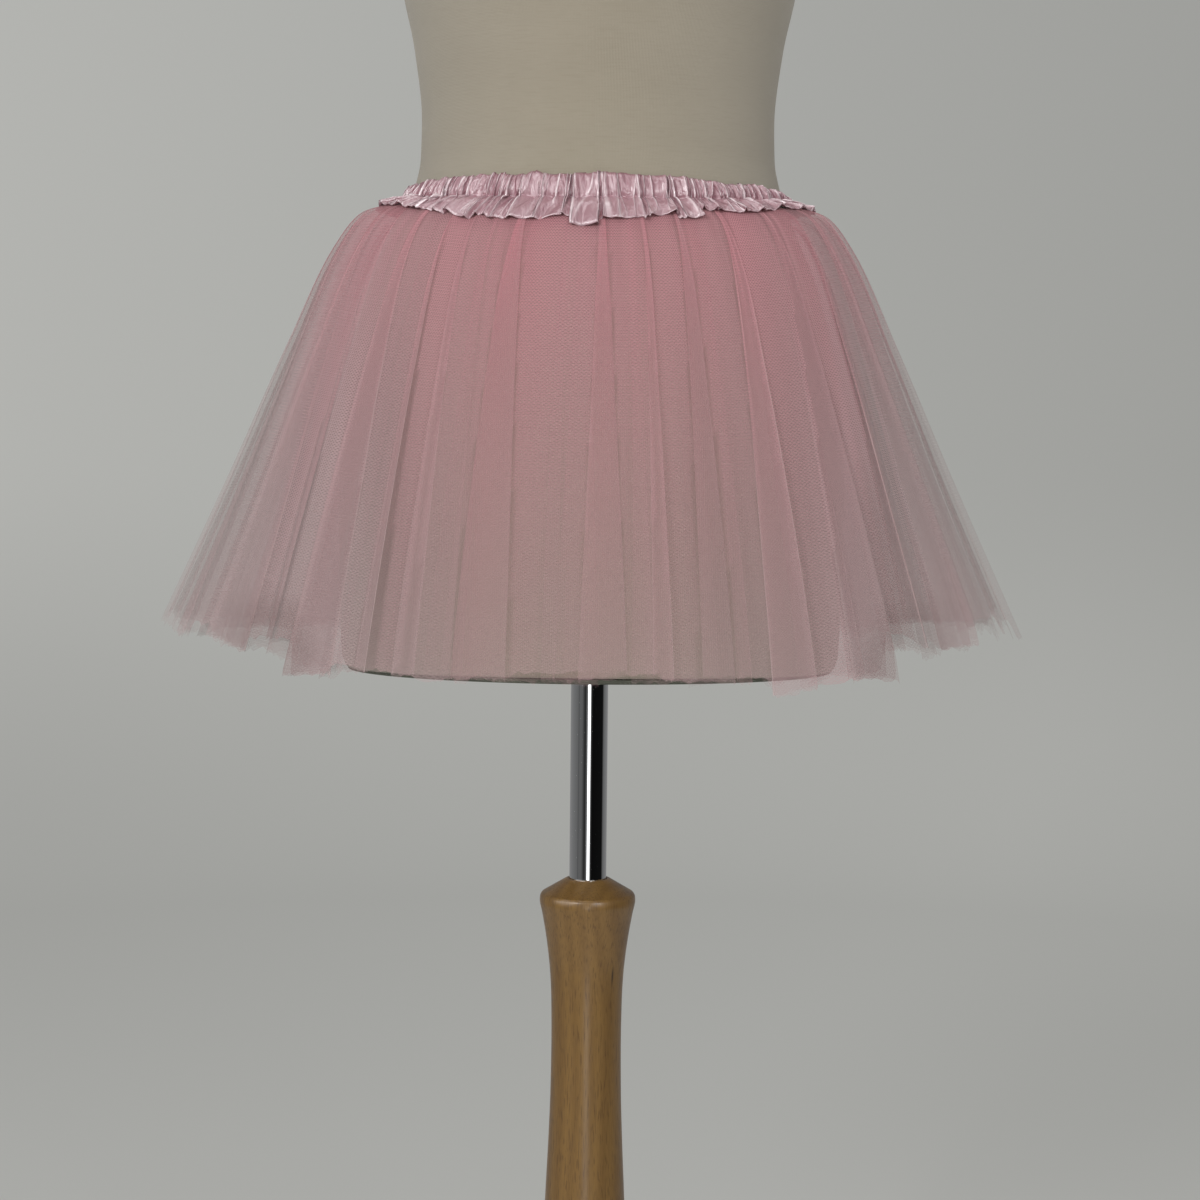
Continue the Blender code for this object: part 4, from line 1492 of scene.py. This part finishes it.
# Sharp creases of the band: the angle in degrees, how far each stands out and the side that it leans to.
BAND_CREASES = [Fold(angle, angle, 0.0, height, 0.0, lean) for angle, height, lean in (
    (-73.0, 0.0012, 0.4), (-60.0, 0.0016, -0.5), (-47.5, 0.0018, 0.5), (-42.0, 0.0012, -0.4),
    (-38.0, 0.0017, -0.6), (-31.0, 0.0012, 0.3), (-28.8, 0.0016, 0.5), (-27.0, 0.0010, -0.3),
    (-24.7, 0.0017, 0.5), (-20.7, 0.0015, -0.4), (-14.3, 0.0008, 0.3), (-7.7, 0.0016, -0.5),
    (-5.4, 0.0015, -0.3), (1.0, 0.0016, 0.6), (2.1, 0.0012, -0.4), (6.4, 0.0016, 0.4),
    (12.3, 0.0018, -0.5), (13.8, 0.0013, -0.2), (20.6, 0.0014, 0.6), (22.3, 0.0010, -0.4),
    (27.0, 0.0018, 0.5), (28.6, 0.0012, -0.3), (32.0, 0.0017, 0.4), (39.5, 0.0017, -0.5),
    (46.3, 0.0016, 0.3), (58.7, 0.0012, 0.5), (66.0, 0.0018, -0.4), (73.0, 0.0012, 0.3))]

# The uneven edge of the band's flounce.
FLOUNCE_STEPS = [HemStep(*row) for row in (
    (-91.0, 0.0000), (-73.0, 0.0000), (-60.0, 0.0000), (-47.5, 0.0045), (-46.7, 0.0016), (-42.0, 0.0028),
    (-38.0, 0.0040), (-37.4, 0.0024), (-31.0, 0.0062), (-28.8, 0.0020), (-27.0, 0.0012), (-24.7, 0.0042),
    (-24.0, 0.0018), (-20.7, 0.0032), (-20.0, 0.0018), (-14.3, 0.0012), (-7.7, -0.0030), (-5.9, -0.0025),
    (-5.4, 0.0045), (1.0, 0.0045), (1.4, -0.0010), (6.4, -0.0004), (11.9, -0.0018), (12.3, 0.0010),
    (13.1, -0.0020), (20.4, -0.0035), (20.9, 0.0010), (27.0, 0.0022), (27.5, -0.0045), (28.6, -0.0068),
    (32.0, -0.0025), (32.5, -0.0040), (39.5, 0.0005), (46.3, 0.0012), (58.7, -0.0030), (59.4, -0.0008),
    (66.0, 0.0015), (67.0, -0.0010), (73.0, -0.0020), (91.0, 0.0000))]


def crest(phase: Array) -> Array:
    """Return a wave with sharp crests and wide hollows: 0.64 less the size of the half phase's sine."""
    return 0.64 - np.abs(np.sin(0.5 * phase))


def crest_line(phase: Array, strength: Array | float, wide: float) -> Array:
    """Return how near a point is to a sharp crest of the given width, times the strength, up to 1."""
    return np.minimum(strength, 1.0) * np.exp(-(np.sin(0.5 * phase) / wide) ** 2)


class Gathering:
    """The band's small gathers and the creases that they run through, for every column.

    phase rises by one turn for each gather, faster and slower by seeded amounts. strength is how far it
    swings and stands, slant how much it leans down the band, and fold a wave that peaks at each crease.
    """

    def __init__(self, count: int, creases: Pleating, depth: float, seed: int) -> None:
        """Seed that many gathers over the creases, with the depth that a middling one has.

        Args:
            count: How many gathers there are.
            creases: The band's creases.
            depth: How far a middling gather stands out.
            seed: The seed.
        """
        columns = len(creases.phase)
        self.count, self.creases, self.depth = count, creases, depth
        self.turns = np.arange(columns) / columns
        steps = np.exp(np.random.default_rng(seed).normal(0.0, 0.5, count))
        marks = running_total(steps) / steps.sum()
        self.phase = TURN * np.interp(self.turns, marks, np.arange(count + 1))
        self.strength = self.seeded(0.10, 1.50, seed + 2)
        self.slant = self.seeded(-1.5, 1.5, seed + 3)
        self.fold = np.cos(creases.phase + creases.read("lean") * 0.5 * math.pi)

    def seeded(self, low: float, high: float, seed: int) -> Array:
        """Return one seeded amount for each gather, blended from gather to gather.

        Args:
            low: The least amount.
            high: The most.
            seed: The seed.

        Returns:
            The amount at every column.
        """
        amounts = np.random.default_rng(seed).uniform(low, high, self.count + 1)
        amounts[-1] = amounts[0]
        return np.interp(self.phase / TURN, np.arange(self.count + 1), amounts)

    def angle(self, pull: Array | float, turned: Array, lasting: Array) -> Array:
        """Return the angles in radians, with the creases pulled and the gathers swinging to and fro."""
        swing = TURN / self.count * 0.50 * self.strength * lasting
        return self.creases.angle(0.0, pull) - 0.42 * swing * np.sin(turned)

    def ripples(self, shift: Array, counts: tuple[int, int], seed: int) -> Array:
        """Return uneven waves round the body, which drift by shift."""
        return ripples(self.turns + shift, counts, seed)


@dataclass
class Waistband:
    """Gathered satin casing over the elastic, with a short flounce below its stitching.

    The foot is the stitching's height and the reach the flounce's share of the net's length, both given at
    the side and at the front. The heading rises by high_rise in one stretch round the angle high_at.
    """

    form: DressForm
    casing_height: float = 0.0140
    side_drop: float = 0.0050
    right_drop: float = 0.0028
    casing_swell: float = 0.0034
    foot_side: float = 1.0012
    foot_front: float = 0.9957
    reach_side: float = 0.038
    reach_front: float = 0.060
    high_at: float = -0.15
    high_width: float = 0.20
    high_rise: float = 0.0022
    hidden_folds: int = 34
    hidden_height: float = 0.0015
    gathers: int = 190
    gather_depth: float = 0.0022
    crumples: float = 0.00055
    columns: int = 3000
    casing_rows: int = 12
    flounce_rows: int = 13
    turned_rows: int = 3
    satin_gap: float = 0.0016
    form_gap: float = 0.0008
    cut_width: float = 1.30
    cut_length: float = 0.048
    stitch_count: int = 262
    stitch_length: float = 0.0021
    stitch_radius: float = 0.00028
    stitch_rise: float = 0.0004
    stitch_bow: float = 0.0003
    stitch_rings: int = 7
    stitch_sides: int = 6
    seed: int = 40

    def heading_height(self, angle: Array) -> Array:
        """Return the casing's height, less by the cubed sine at the sides, and least at the right."""
        to_right = self.right_drop * eased((np.sin(angle) - 0.30) / 0.45)
        return self.casing_height - self.side_drop * np.abs(np.sin(angle)) ** 3 - to_right

    def section(self) -> tuple[Array, dict[str, Array]]:
        """Work out the band's points and the numbers that its material reads.

        The section runs from inside the heading, over its frilled edge, down the swollen casing to the
        pinched stitching, down the flounce to its edge and a little way back up behind it. Sharp creases run
        through from the heading to the flounce's edge, with flat panels between. Small gathers, slanted by
        seeded amounts, are sharpest at the stitching.

        Returns:
            The points, rows down the band, and the painted shade and painted highlight at each of them.
        """
        hidden = seeded_folds(self.hidden_folds, 78.0, 284.0, self.hidden_height, self.seed + 1, narrow=0.0,
                              wide=0.0, extra=(-0.0026, 0.0034), jitter=0.34)
        creases = Pleating(BAND_CREASES + hidden, self.columns)
        gathers = Gathering(self.gathers, creases, self.gather_depth, self.seed)
        casing, casing_shades = self.casing(gathers)
        flounce, flounce_shades = self.flounce(gathers, casing[-1])
        mean = creases.angle(0.0, 0.4)
        foot = side_to_front(self.foot_side, self.foot_front, mean)
        inside = self.form.reach(mean, foot + self.heading_height(mean) * 0.90, 0.0005)
        lip = 0.5 * (inside + casing[0]) + np.array([0.0, 0.0, 0.0012])
        points = np.concatenate([inside[None], lip[None], casing, flounce])
        # The heading's inside and lip get a little painted shade and painted highlight.
        painted_shade, glint = (np.concatenate([np.full((2, self.columns), edge), above, below])
                         for edge, above, below in zip((0.1, 0.25), casing_shades, flounce_shades))
        return points, {"painted_shade": painted_shade, "glint": np.clip(glint, 0.0, 1.0)}

    def casing(self, gathers: Gathering) -> tuple[Array, tuple[Array, Array]]:
        """Work out the casing from its frilled edge down to the stitching, with painted shade and highlights.

        It swells between the two by the root of a half sine. Each fold adds the cosine of its phase to the
        height, each gather adds its crest, and both swing to and fro by the sine.

        Args:
            gathers: The band's gathers and creases.

        Returns:
            The points, and their painted shade and painted highlights.
        """
        creases, strength = gathers.creases, gathers.strength
        share = np.linspace(1.0, 0.0, self.casing_rows)[:, None] ** 1.2
        pinch = 0.75 + 0.25 * np.exp(-(share * 4.0) ** 2)
        turned = gathers.phase + gathers.slant * 2.4 * share
        angle = gathers.angle(0.86 - 0.30 * share, turned, pinch)
        frill = 0.0006 * gathers.ripples(0.0, (5, 26), self.seed + 7)
        frill = frill + 0.0007 * gathers.ripples(0.0, (30, 110), self.seed + 8)
        frill = frill + self.high_rise * np.exp(-((creases.middle - self.high_at) / self.high_width) ** 2)
        height = self.heading_height(angle) + frill + 0.0006 * strength * crest(turned)
        z = side_to_front(self.foot_side, self.foot_front, angle) + share * height
        z = z + 0.0007 * pinch * np.sin(turned) * (1.0 - share)
        swell = self.casing_swell * np.sin(math.pi * np.clip(share * 0.88 + 0.08, 0.0, 1.0)) ** 0.38
        folded = creases.read("height") * 0.6 * gathers.fold
        gathered = gathers.depth * strength * pinch * crest(turned)
        fine = 0.00012 * gathers.ripples(0.002 * share, (260, 400), self.seed + 9)
        fine = fine + 0.5 * self.crumples * gathers.ripples(0.004 * share, (60, 140), self.seed + 14)
        points = self.form.reach(angle, z, 0.0016 + swell + folded + gathered + fine)
        # Painted shade between the gathers and beside the creases.
        painted_shade = 0.60 - 0.75 * crest(turned) * np.minimum(strength, 1.0)
        painted_shade = np.clip(painted_shade - 0.20 * gathers.fold, 0.0, 1.0)
        # Painted highlight along the crests of gathers and creases.
        glint = np.maximum(crest_line(turned, strength, 0.14), crest_line(creases.phase, 0.9, 0.26))
        return self.form.clear(points, self.form_gap), (painted_shade, glint)

    def flounce(self, gathers: Gathering, start: Array) -> tuple[Array, tuple[Array, Array]]:
        """Work out the flounce, its turned-up edge included, with its painted shade and highlights.

        It goes on from the row start, and lies over the outer net, lifted across the net's slope. Its creases
        spread and stand out towards the uneven edge. The casing's gathers run on, each for its own share of
        the length.

        Args:
            gathers: The band's gathers and creases.
            start: The casing's last row, where it begins.

        Returns:
            The points, and their painted shade and painted highlights.
        """
        creases, strength = gathers.creases, gathers.strength
        down = np.linspace(0.0, 1.0, self.flounce_rows + 1)[1:, None] ** 1.15
        back = np.linspace(1.0, 0.55, self.turned_rows)[:, None]
        share = np.concatenate([down, back])
        under = np.concatenate([np.zeros_like(down), np.ones_like(back)])
        run_on = np.exp(-(share / gathers.seeded(0.10, 1.20, self.seed + 4)) ** 2)
        turned = gathers.phase - gathers.slant * 2.5 * share
        place = gathers.angle(0.86, turned, run_on)
        longer = (creases.read("extra") + hanging(FLOUNCE_STEPS, place)) / NetLayer.cut_length
        along = side_to_front(self.reach_side, self.reach_front, place) * share + longer * share ** 3
        folded = creases.read("height") * (0.45 + 0.55 * share) * (gathers.fold + 0.75)
        gathered = gathers.depth * strength * run_on * (crest(turned) + 0.2)
        fine = 0.00010 * gathers.ripples(0.003 * share, (220, 360), self.seed + 11)
        crumpled = self.crumples * side_to_front(0.35, 1.0, place) * share ** 0.7
        fine = fine + crumpled * gathers.ripples(0.006 * share, (70, 150), self.seed + 13)
        raised = self.satin_gap + folded + gathered + fine - 0.0006 * under
        points = net_surface(place, along) + net_normal(place, along) * raised[..., None]
        ease = eased(share / 0.22)[..., None]
        points = start * (1.0 - ease) + points * ease
        # Painted shade beside the creases and between the gathers.
        painted_shade = np.clip(0.22 - 0.35 * gathers.fold - 0.3 * run_on * crest(turned), 0.0, 1.0)
        # A seeded painted highlight down the middle of the flounce.
        sheen = np.clip(gathers.seeded(-0.8, 1.0, self.seed + 12), 0.0, 1.0)
        sheen = 0.75 * sheen * np.exp(-((share - 0.55) / 0.35) ** 2)
        # Painted highlight along the crests of gathers and creases.
        glint = np.maximum(crest_line(turned, strength, 0.20) * np.maximum(run_on, sheen),
                           crest_line(creases.phase, 1.0, 0.34))
        # Painted highlight along the folded edge.
        glint = np.maximum(glint, 0.4 * np.exp(-((share - 1.0) / 0.05) ** 2))
        # Painted shade under the turned-up edge, with no highlight there.
        return points, (np.where(under > 0.0, 0.9, painted_shade), np.where(under > 0.0, 0.0, glint))

    def build(self) -> bpy.types.Object:
        """Returns:
            The piece that stands for the waistband.
        """
        points, shades = self.section()
        down = self.cut_length * np.linspace(0.0, 1.0, len(points))[:, None]
        cut = cut_grid(self.cut_width, self.columns, down)
        made = Surface(points, cut, Run.DOWN, Ends.OPEN, shades).make("gathered_band",
                                                                      SatinFinish().material("satin"))
        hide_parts("waistband")
        return made

    def stitches(self, band: bpy.types.Object) -> bpy.types.Object:
        """Build the row of stitches: short threads, bowed over the pinched line at even steps.

        A stitch's spine follows the band's row and stands out by a parabola. Round it run rings whose radius
        falls off to its ends like a half circle.

        Args:
            band: The finished band.

        Returns:
            The stitches as one piece.
        """
        line = np.empty(len(band.data.vertices) * 3, np.float32)
        band.data.vertices.foreach_get("co", line)
        line = line.reshape(-1, self.columns, 3)[self.casing_rows + 1]
        middles = np.arange(self.stitch_count) * self.columns // self.stitch_count
        centre = line[middles]
        along_line = unit(np.roll(line, -3, axis=0) - np.roll(line, 3, axis=0))[middles]
        out = unit(centre * np.array([1.0, 1.0, 0.0]))
        up = np.cross(out, along_line)
        steps = np.linspace(-1.0, 1.0, self.stitch_rings)
        thick = self.stitch_radius * np.sqrt(np.clip(1.0 - steps ** 2, 0.04, 1.0))
        turn = np.arange(self.stitch_sides) * TURN / self.stitch_sides
        spine = (centre[:, None] + along_line[:, None] * (steps * 0.5 * self.stitch_length)[None, :, None]
                 + out[:, None] * (self.stitch_rise - self.stitch_bow * steps ** 2)[None, :, None])
        ring = (out[:, None, None] * (np.cos(turn)[None, None, :, None] * thick[None, :, None, None])
                + up[:, None, None] * (np.sin(turn)[None, None, :, None] * thick[None, :, None, None]))
        copies = (spine[:, :, None] + ring).reshape(self.stitch_count, -1, 3)
        number = np.arange(self.stitch_rings * self.stitch_sides).reshape(self.stitch_rings, -1)
        beside = np.roll(number, -1, axis=1)
        faces = np.stack([number[:-1], beside[:-1], beside[1:], number[1:]], axis=-1).reshape(-1, 4)
        points, corners, sizes = many(copies, faces)
        made = link_piece("band_stitches", build_mesh("band_stitches", points, corners, sizes),
                          ThreadFinish().material("thread"))
        return made


# ---- studio -------------------------------------------------------------------------------------------

@dataclass(frozen=True)
class Panel:
    """A soft light: where it is, what it faces, its size and strength."""

    place: Triple
    facing: Triple
    size: float
    watts: float


def hide_from(made: bpy.types.Object, *rays: str) -> None:
    """Hide an object from the named kinds of ray."""
    for kind in rays:
        setattr(made, f"visible_{kind}", False)


@dataclass
class Studio:
    """Pale floor that curves up all round into a wall, soft light and the camera."""

    bowl_radius: float = 4.2
    cove: float = 1.4
    wall_height: float = 3.4
    bowl_columns: int = 96
    room_columns: int = 360
    wall: Colour = (0.74, 0.745, 0.72)
    # Painted light and shade across the backdrop.
    shade: float = 0.93
    floor_slope: float = 0.030
    wall_slope: float = 0.115
    sky: float = 0.465
    key: Panel = Panel((-1.7, -3.2, 2.3), (0.0, 0.0, 0.95), 1.0, 57.0)
    fill: Panel = Panel((1.3, -3.3, 1.8), (0.0, 0.0, 0.8), 1.0, 17.0)
    camera_at: Triple = (0.0064, -1.5, 0.826)
    pitch_deg: float = 3.32
    roll_deg: float = 0.575
    focal_px: float = 2239.0
    frame_px: float = 1200.0
    sensor_mm: float = 36.0
    far: float = 60.0
    see_through: int = 30
    bounces: int = 2

    def bowl(self) -> None:
        """Build the floor and wall: a disc, a quarter-circle cove and an upright wall, as one turned grid.

        Painted light and shade: to the right the floor grows a little lighter with each metre, and the wall
        darker.
        """
        radius, z = [0.02, 0.6, 1.2, 1.8, self.bowl_radius - self.cove], [0.0] * 5
        for slope in np.linspace(0.0, 0.5 * math.pi, 24)[1:]:
            radius.append(self.bowl_radius - self.cove * (1.0 - math.sin(slope)))
            z.append(self.cove * (1.0 - math.cos(slope)))
        radius.append(self.bowl_radius)
        z.append(self.wall_height)
        points = circles(even_angles(self.bowl_columns), radius, z)
        tree = Tree("backdrop")
        x, _, up = tree.parts(tree.place())
        upright = up.ramp(0.0, 0.9)
        # Painted light and shade: lighter to the right on the floor, darker to the right on the wall.
        shade = self.shade + x * (self.floor_slope - upright * self.wall_slope)
        colour = tree.add("ShaderNodeMix", {"data_type": "RGBA", "blend_type": "MULTIPLY"},
                          {"Factor_Float": 1.0, "A_Color": self.wall, "B_Color": shade}, "Result_Color")
        material = tree.dress(Base_Color=colour, Roughness=0.95, Specular_IOR_Level=0.0)
        cut = np.zeros((len(radius), self.bowl_columns + 1, 2))
        made = Surface(points, cut, Run.DOWN).make("backdrop", material)
        hide_from(made, "diffuse", "glossy", "transmission", "shadow")

    def room(self) -> None:
        """Build what only shiny things see: a ring of room in two tiers, under a ceiling with three lamps.

        Each tier is given as (degrees from the front, brightness). The lower one is grey on the left, with a
        bright doorway behind the camera and a dark stretch to its right. The upper one has a wide window on
        the left and a smaller one on the right.
        """
        lower = ((-180.0, 0.30), (-120.0, 0.20), (-96.0, 0.17), (-72.0, 0.14), (-66.0, 0.09), (-60.0, 0.13),
                 (-44.0, 0.12), (-30.0, 0.04), (-20.0, 0.02), (-14.0, 0.16), (-7.5, 0.16), (-6.5, 2.4),
                 (7.0, 2.4), (9.0, 0.45), (14.0, 0.03), (22.0, 0.004), (92.0, 0.006), (104.0, 0.14),
                 (130.0, 0.20), (180.0, 0.30))
        upper = ((-180.0, 0.25), (-84.0, 0.15), (-76.0, 6.0), (-40.0, 6.0), (-32.0, 0.15), (12.0, 0.10),
                 (18.0, 4.0), (34.0, 4.0), (42.0, 0.10), (120.0, 0.15), (180.0, 0.25))
        angles = np.radians(np.linspace(-180.0, 180.0, self.room_columns, endpoint=False))
        radius = [3.9, 3.9, 3.9, 3.9, 2.6, 2.4, 0.9, 0.8, 0.02]
        height = [-1.0, 0.65, 0.75, 3.2, 4.2, 4.2, 4.2, 4.2, 4.2]
        tiers = [np.interp(np.degrees(angles), *zip(*stops)) for stops in (lower, upper)]
        lamps = 0.15 + 9.0 * eased(2.0 * np.cos(3.0 * angles + 0.9))
        middle = np.full(self.room_columns, 1.2)
        bright = np.array([tiers[0], tiers[0], tiers[1], tiers[1], tiers[1], lamps, lamps, middle, middle])
        tree = Tree("room")
        glow = tree.mix(tree.attribute("bright") * 0.25, (0.0, 0.0, 0.0), (4.0, 4.0, 4.0))
        material = tree.dress(Base_Color=(0.0, 0.0, 0.0), Specular_IOR_Level=0.0, Roughness=1.0,
                              Emission_Color=glow, Emission_Strength=1.0)
        material.cycles.emission_sampling = "NONE"
        cut = np.zeros((len(bright), self.room_columns + 1, 2))
        ring = Surface(circles(angles, radius, height), cut, Run.UP, values={"bright": bright})
        made = ring.make("room", material)
        hide_from(made, "camera", "diffuse", "transmission", "shadow", "volume_scatter")

    def light(self, name: str, panel: Panel) -> None:
        """Add one soft square light that the camera doesn't see.

        Args:
            name: The light's name.
            panel: Its place, size and strength.
        """
        data = bpy.data.lights.new(name, "AREA")
        data.shape = "SQUARE"
        data.size = panel.size
        data.energy = panel.watts
        made = bpy.data.objects.new(name, data)
        aim = (Vector(panel.facing) - Vector(panel.place)).to_track_quat("-Z", "Y")
        made.matrix_world = Matrix.Translation(panel.place) @ aim.to_matrix().to_4x4()
        hide_from(made, "camera")
        bpy.context.collection.objects.link(made)

    def world(self) -> None:
        """Light the scene evenly from all round."""
        world = bpy.data.worlds.new("room_light")
        world.use_nodes = True
        background = world.node_tree.nodes["Background"]
        background.inputs["Color"].default_value = (1.0, 1.0, 0.985, 1.0)
        background.inputs["Strength"].default_value = self.sky
        bpy.context.scene.world = world

    def camera(self) -> None:
        """Add the camera, at the height of the skirt and tipped slightly down."""
        data = bpy.data.cameras.new("camera")
        data.sensor_width = self.sensor_mm
        data.lens = data.sensor_width * self.focal_px / self.frame_px
        data.clip_end = self.far
        made = bpy.data.objects.new("camera", data)
        tilt = Matrix.Rotation(math.radians(90.0 - self.pitch_deg), 4, "X")
        roll = Matrix.Rotation(math.radians(self.roll_deg), 4, "Z")
        made.matrix_world = Matrix.Translation(self.camera_at) @ tilt @ roll
        bpy.context.collection.objects.link(made)
        bpy.context.scene.camera = made

    def build(self) -> None:
        """Set up the whole studio."""
        scene = bpy.context.scene
        scene.view_settings.view_transform = "Standard"
        scene.cycles.transparent_max_bounces = self.see_through
        scene.cycles.max_bounces = self.bounces
        scene.cycles.diffuse_bounces = self.bounces
        self.camera()
        self.world()
        self.light("key_light", self.key)
        self.light("fill_light", self.fill)
        self.bowl()
        self.room()


def note(piece: bpy.types.Object) -> None:
    """Report one finished piece."""
    log.info("%s: %d faces", piece.name, len(piece.data.polygons))


def main() -> None:
    """Build the studio, the stand, the form and the tutu, in that order."""
    logging.basicConfig(level=logging.INFO, format="%(name)s %(message)s")
    Studio().build()
    stand = Stand()
    beech = BeechFinish().material("beech")
    note(stand.pole())
    note(stand.post(beech))
    note(stand.foot(beech))
    form = DressForm()
    note(form.torso())
    note(form.board())
    waistband = Waistband(form)
    band = waistband.build()
    note(band)
    stitches = waistband.stitches(band)
    note(stitches)
    for layer in Skirt(form).build():
        note(layer)
    bpy.context.view_layer.update()


if __name__ == "__main__":
    main()
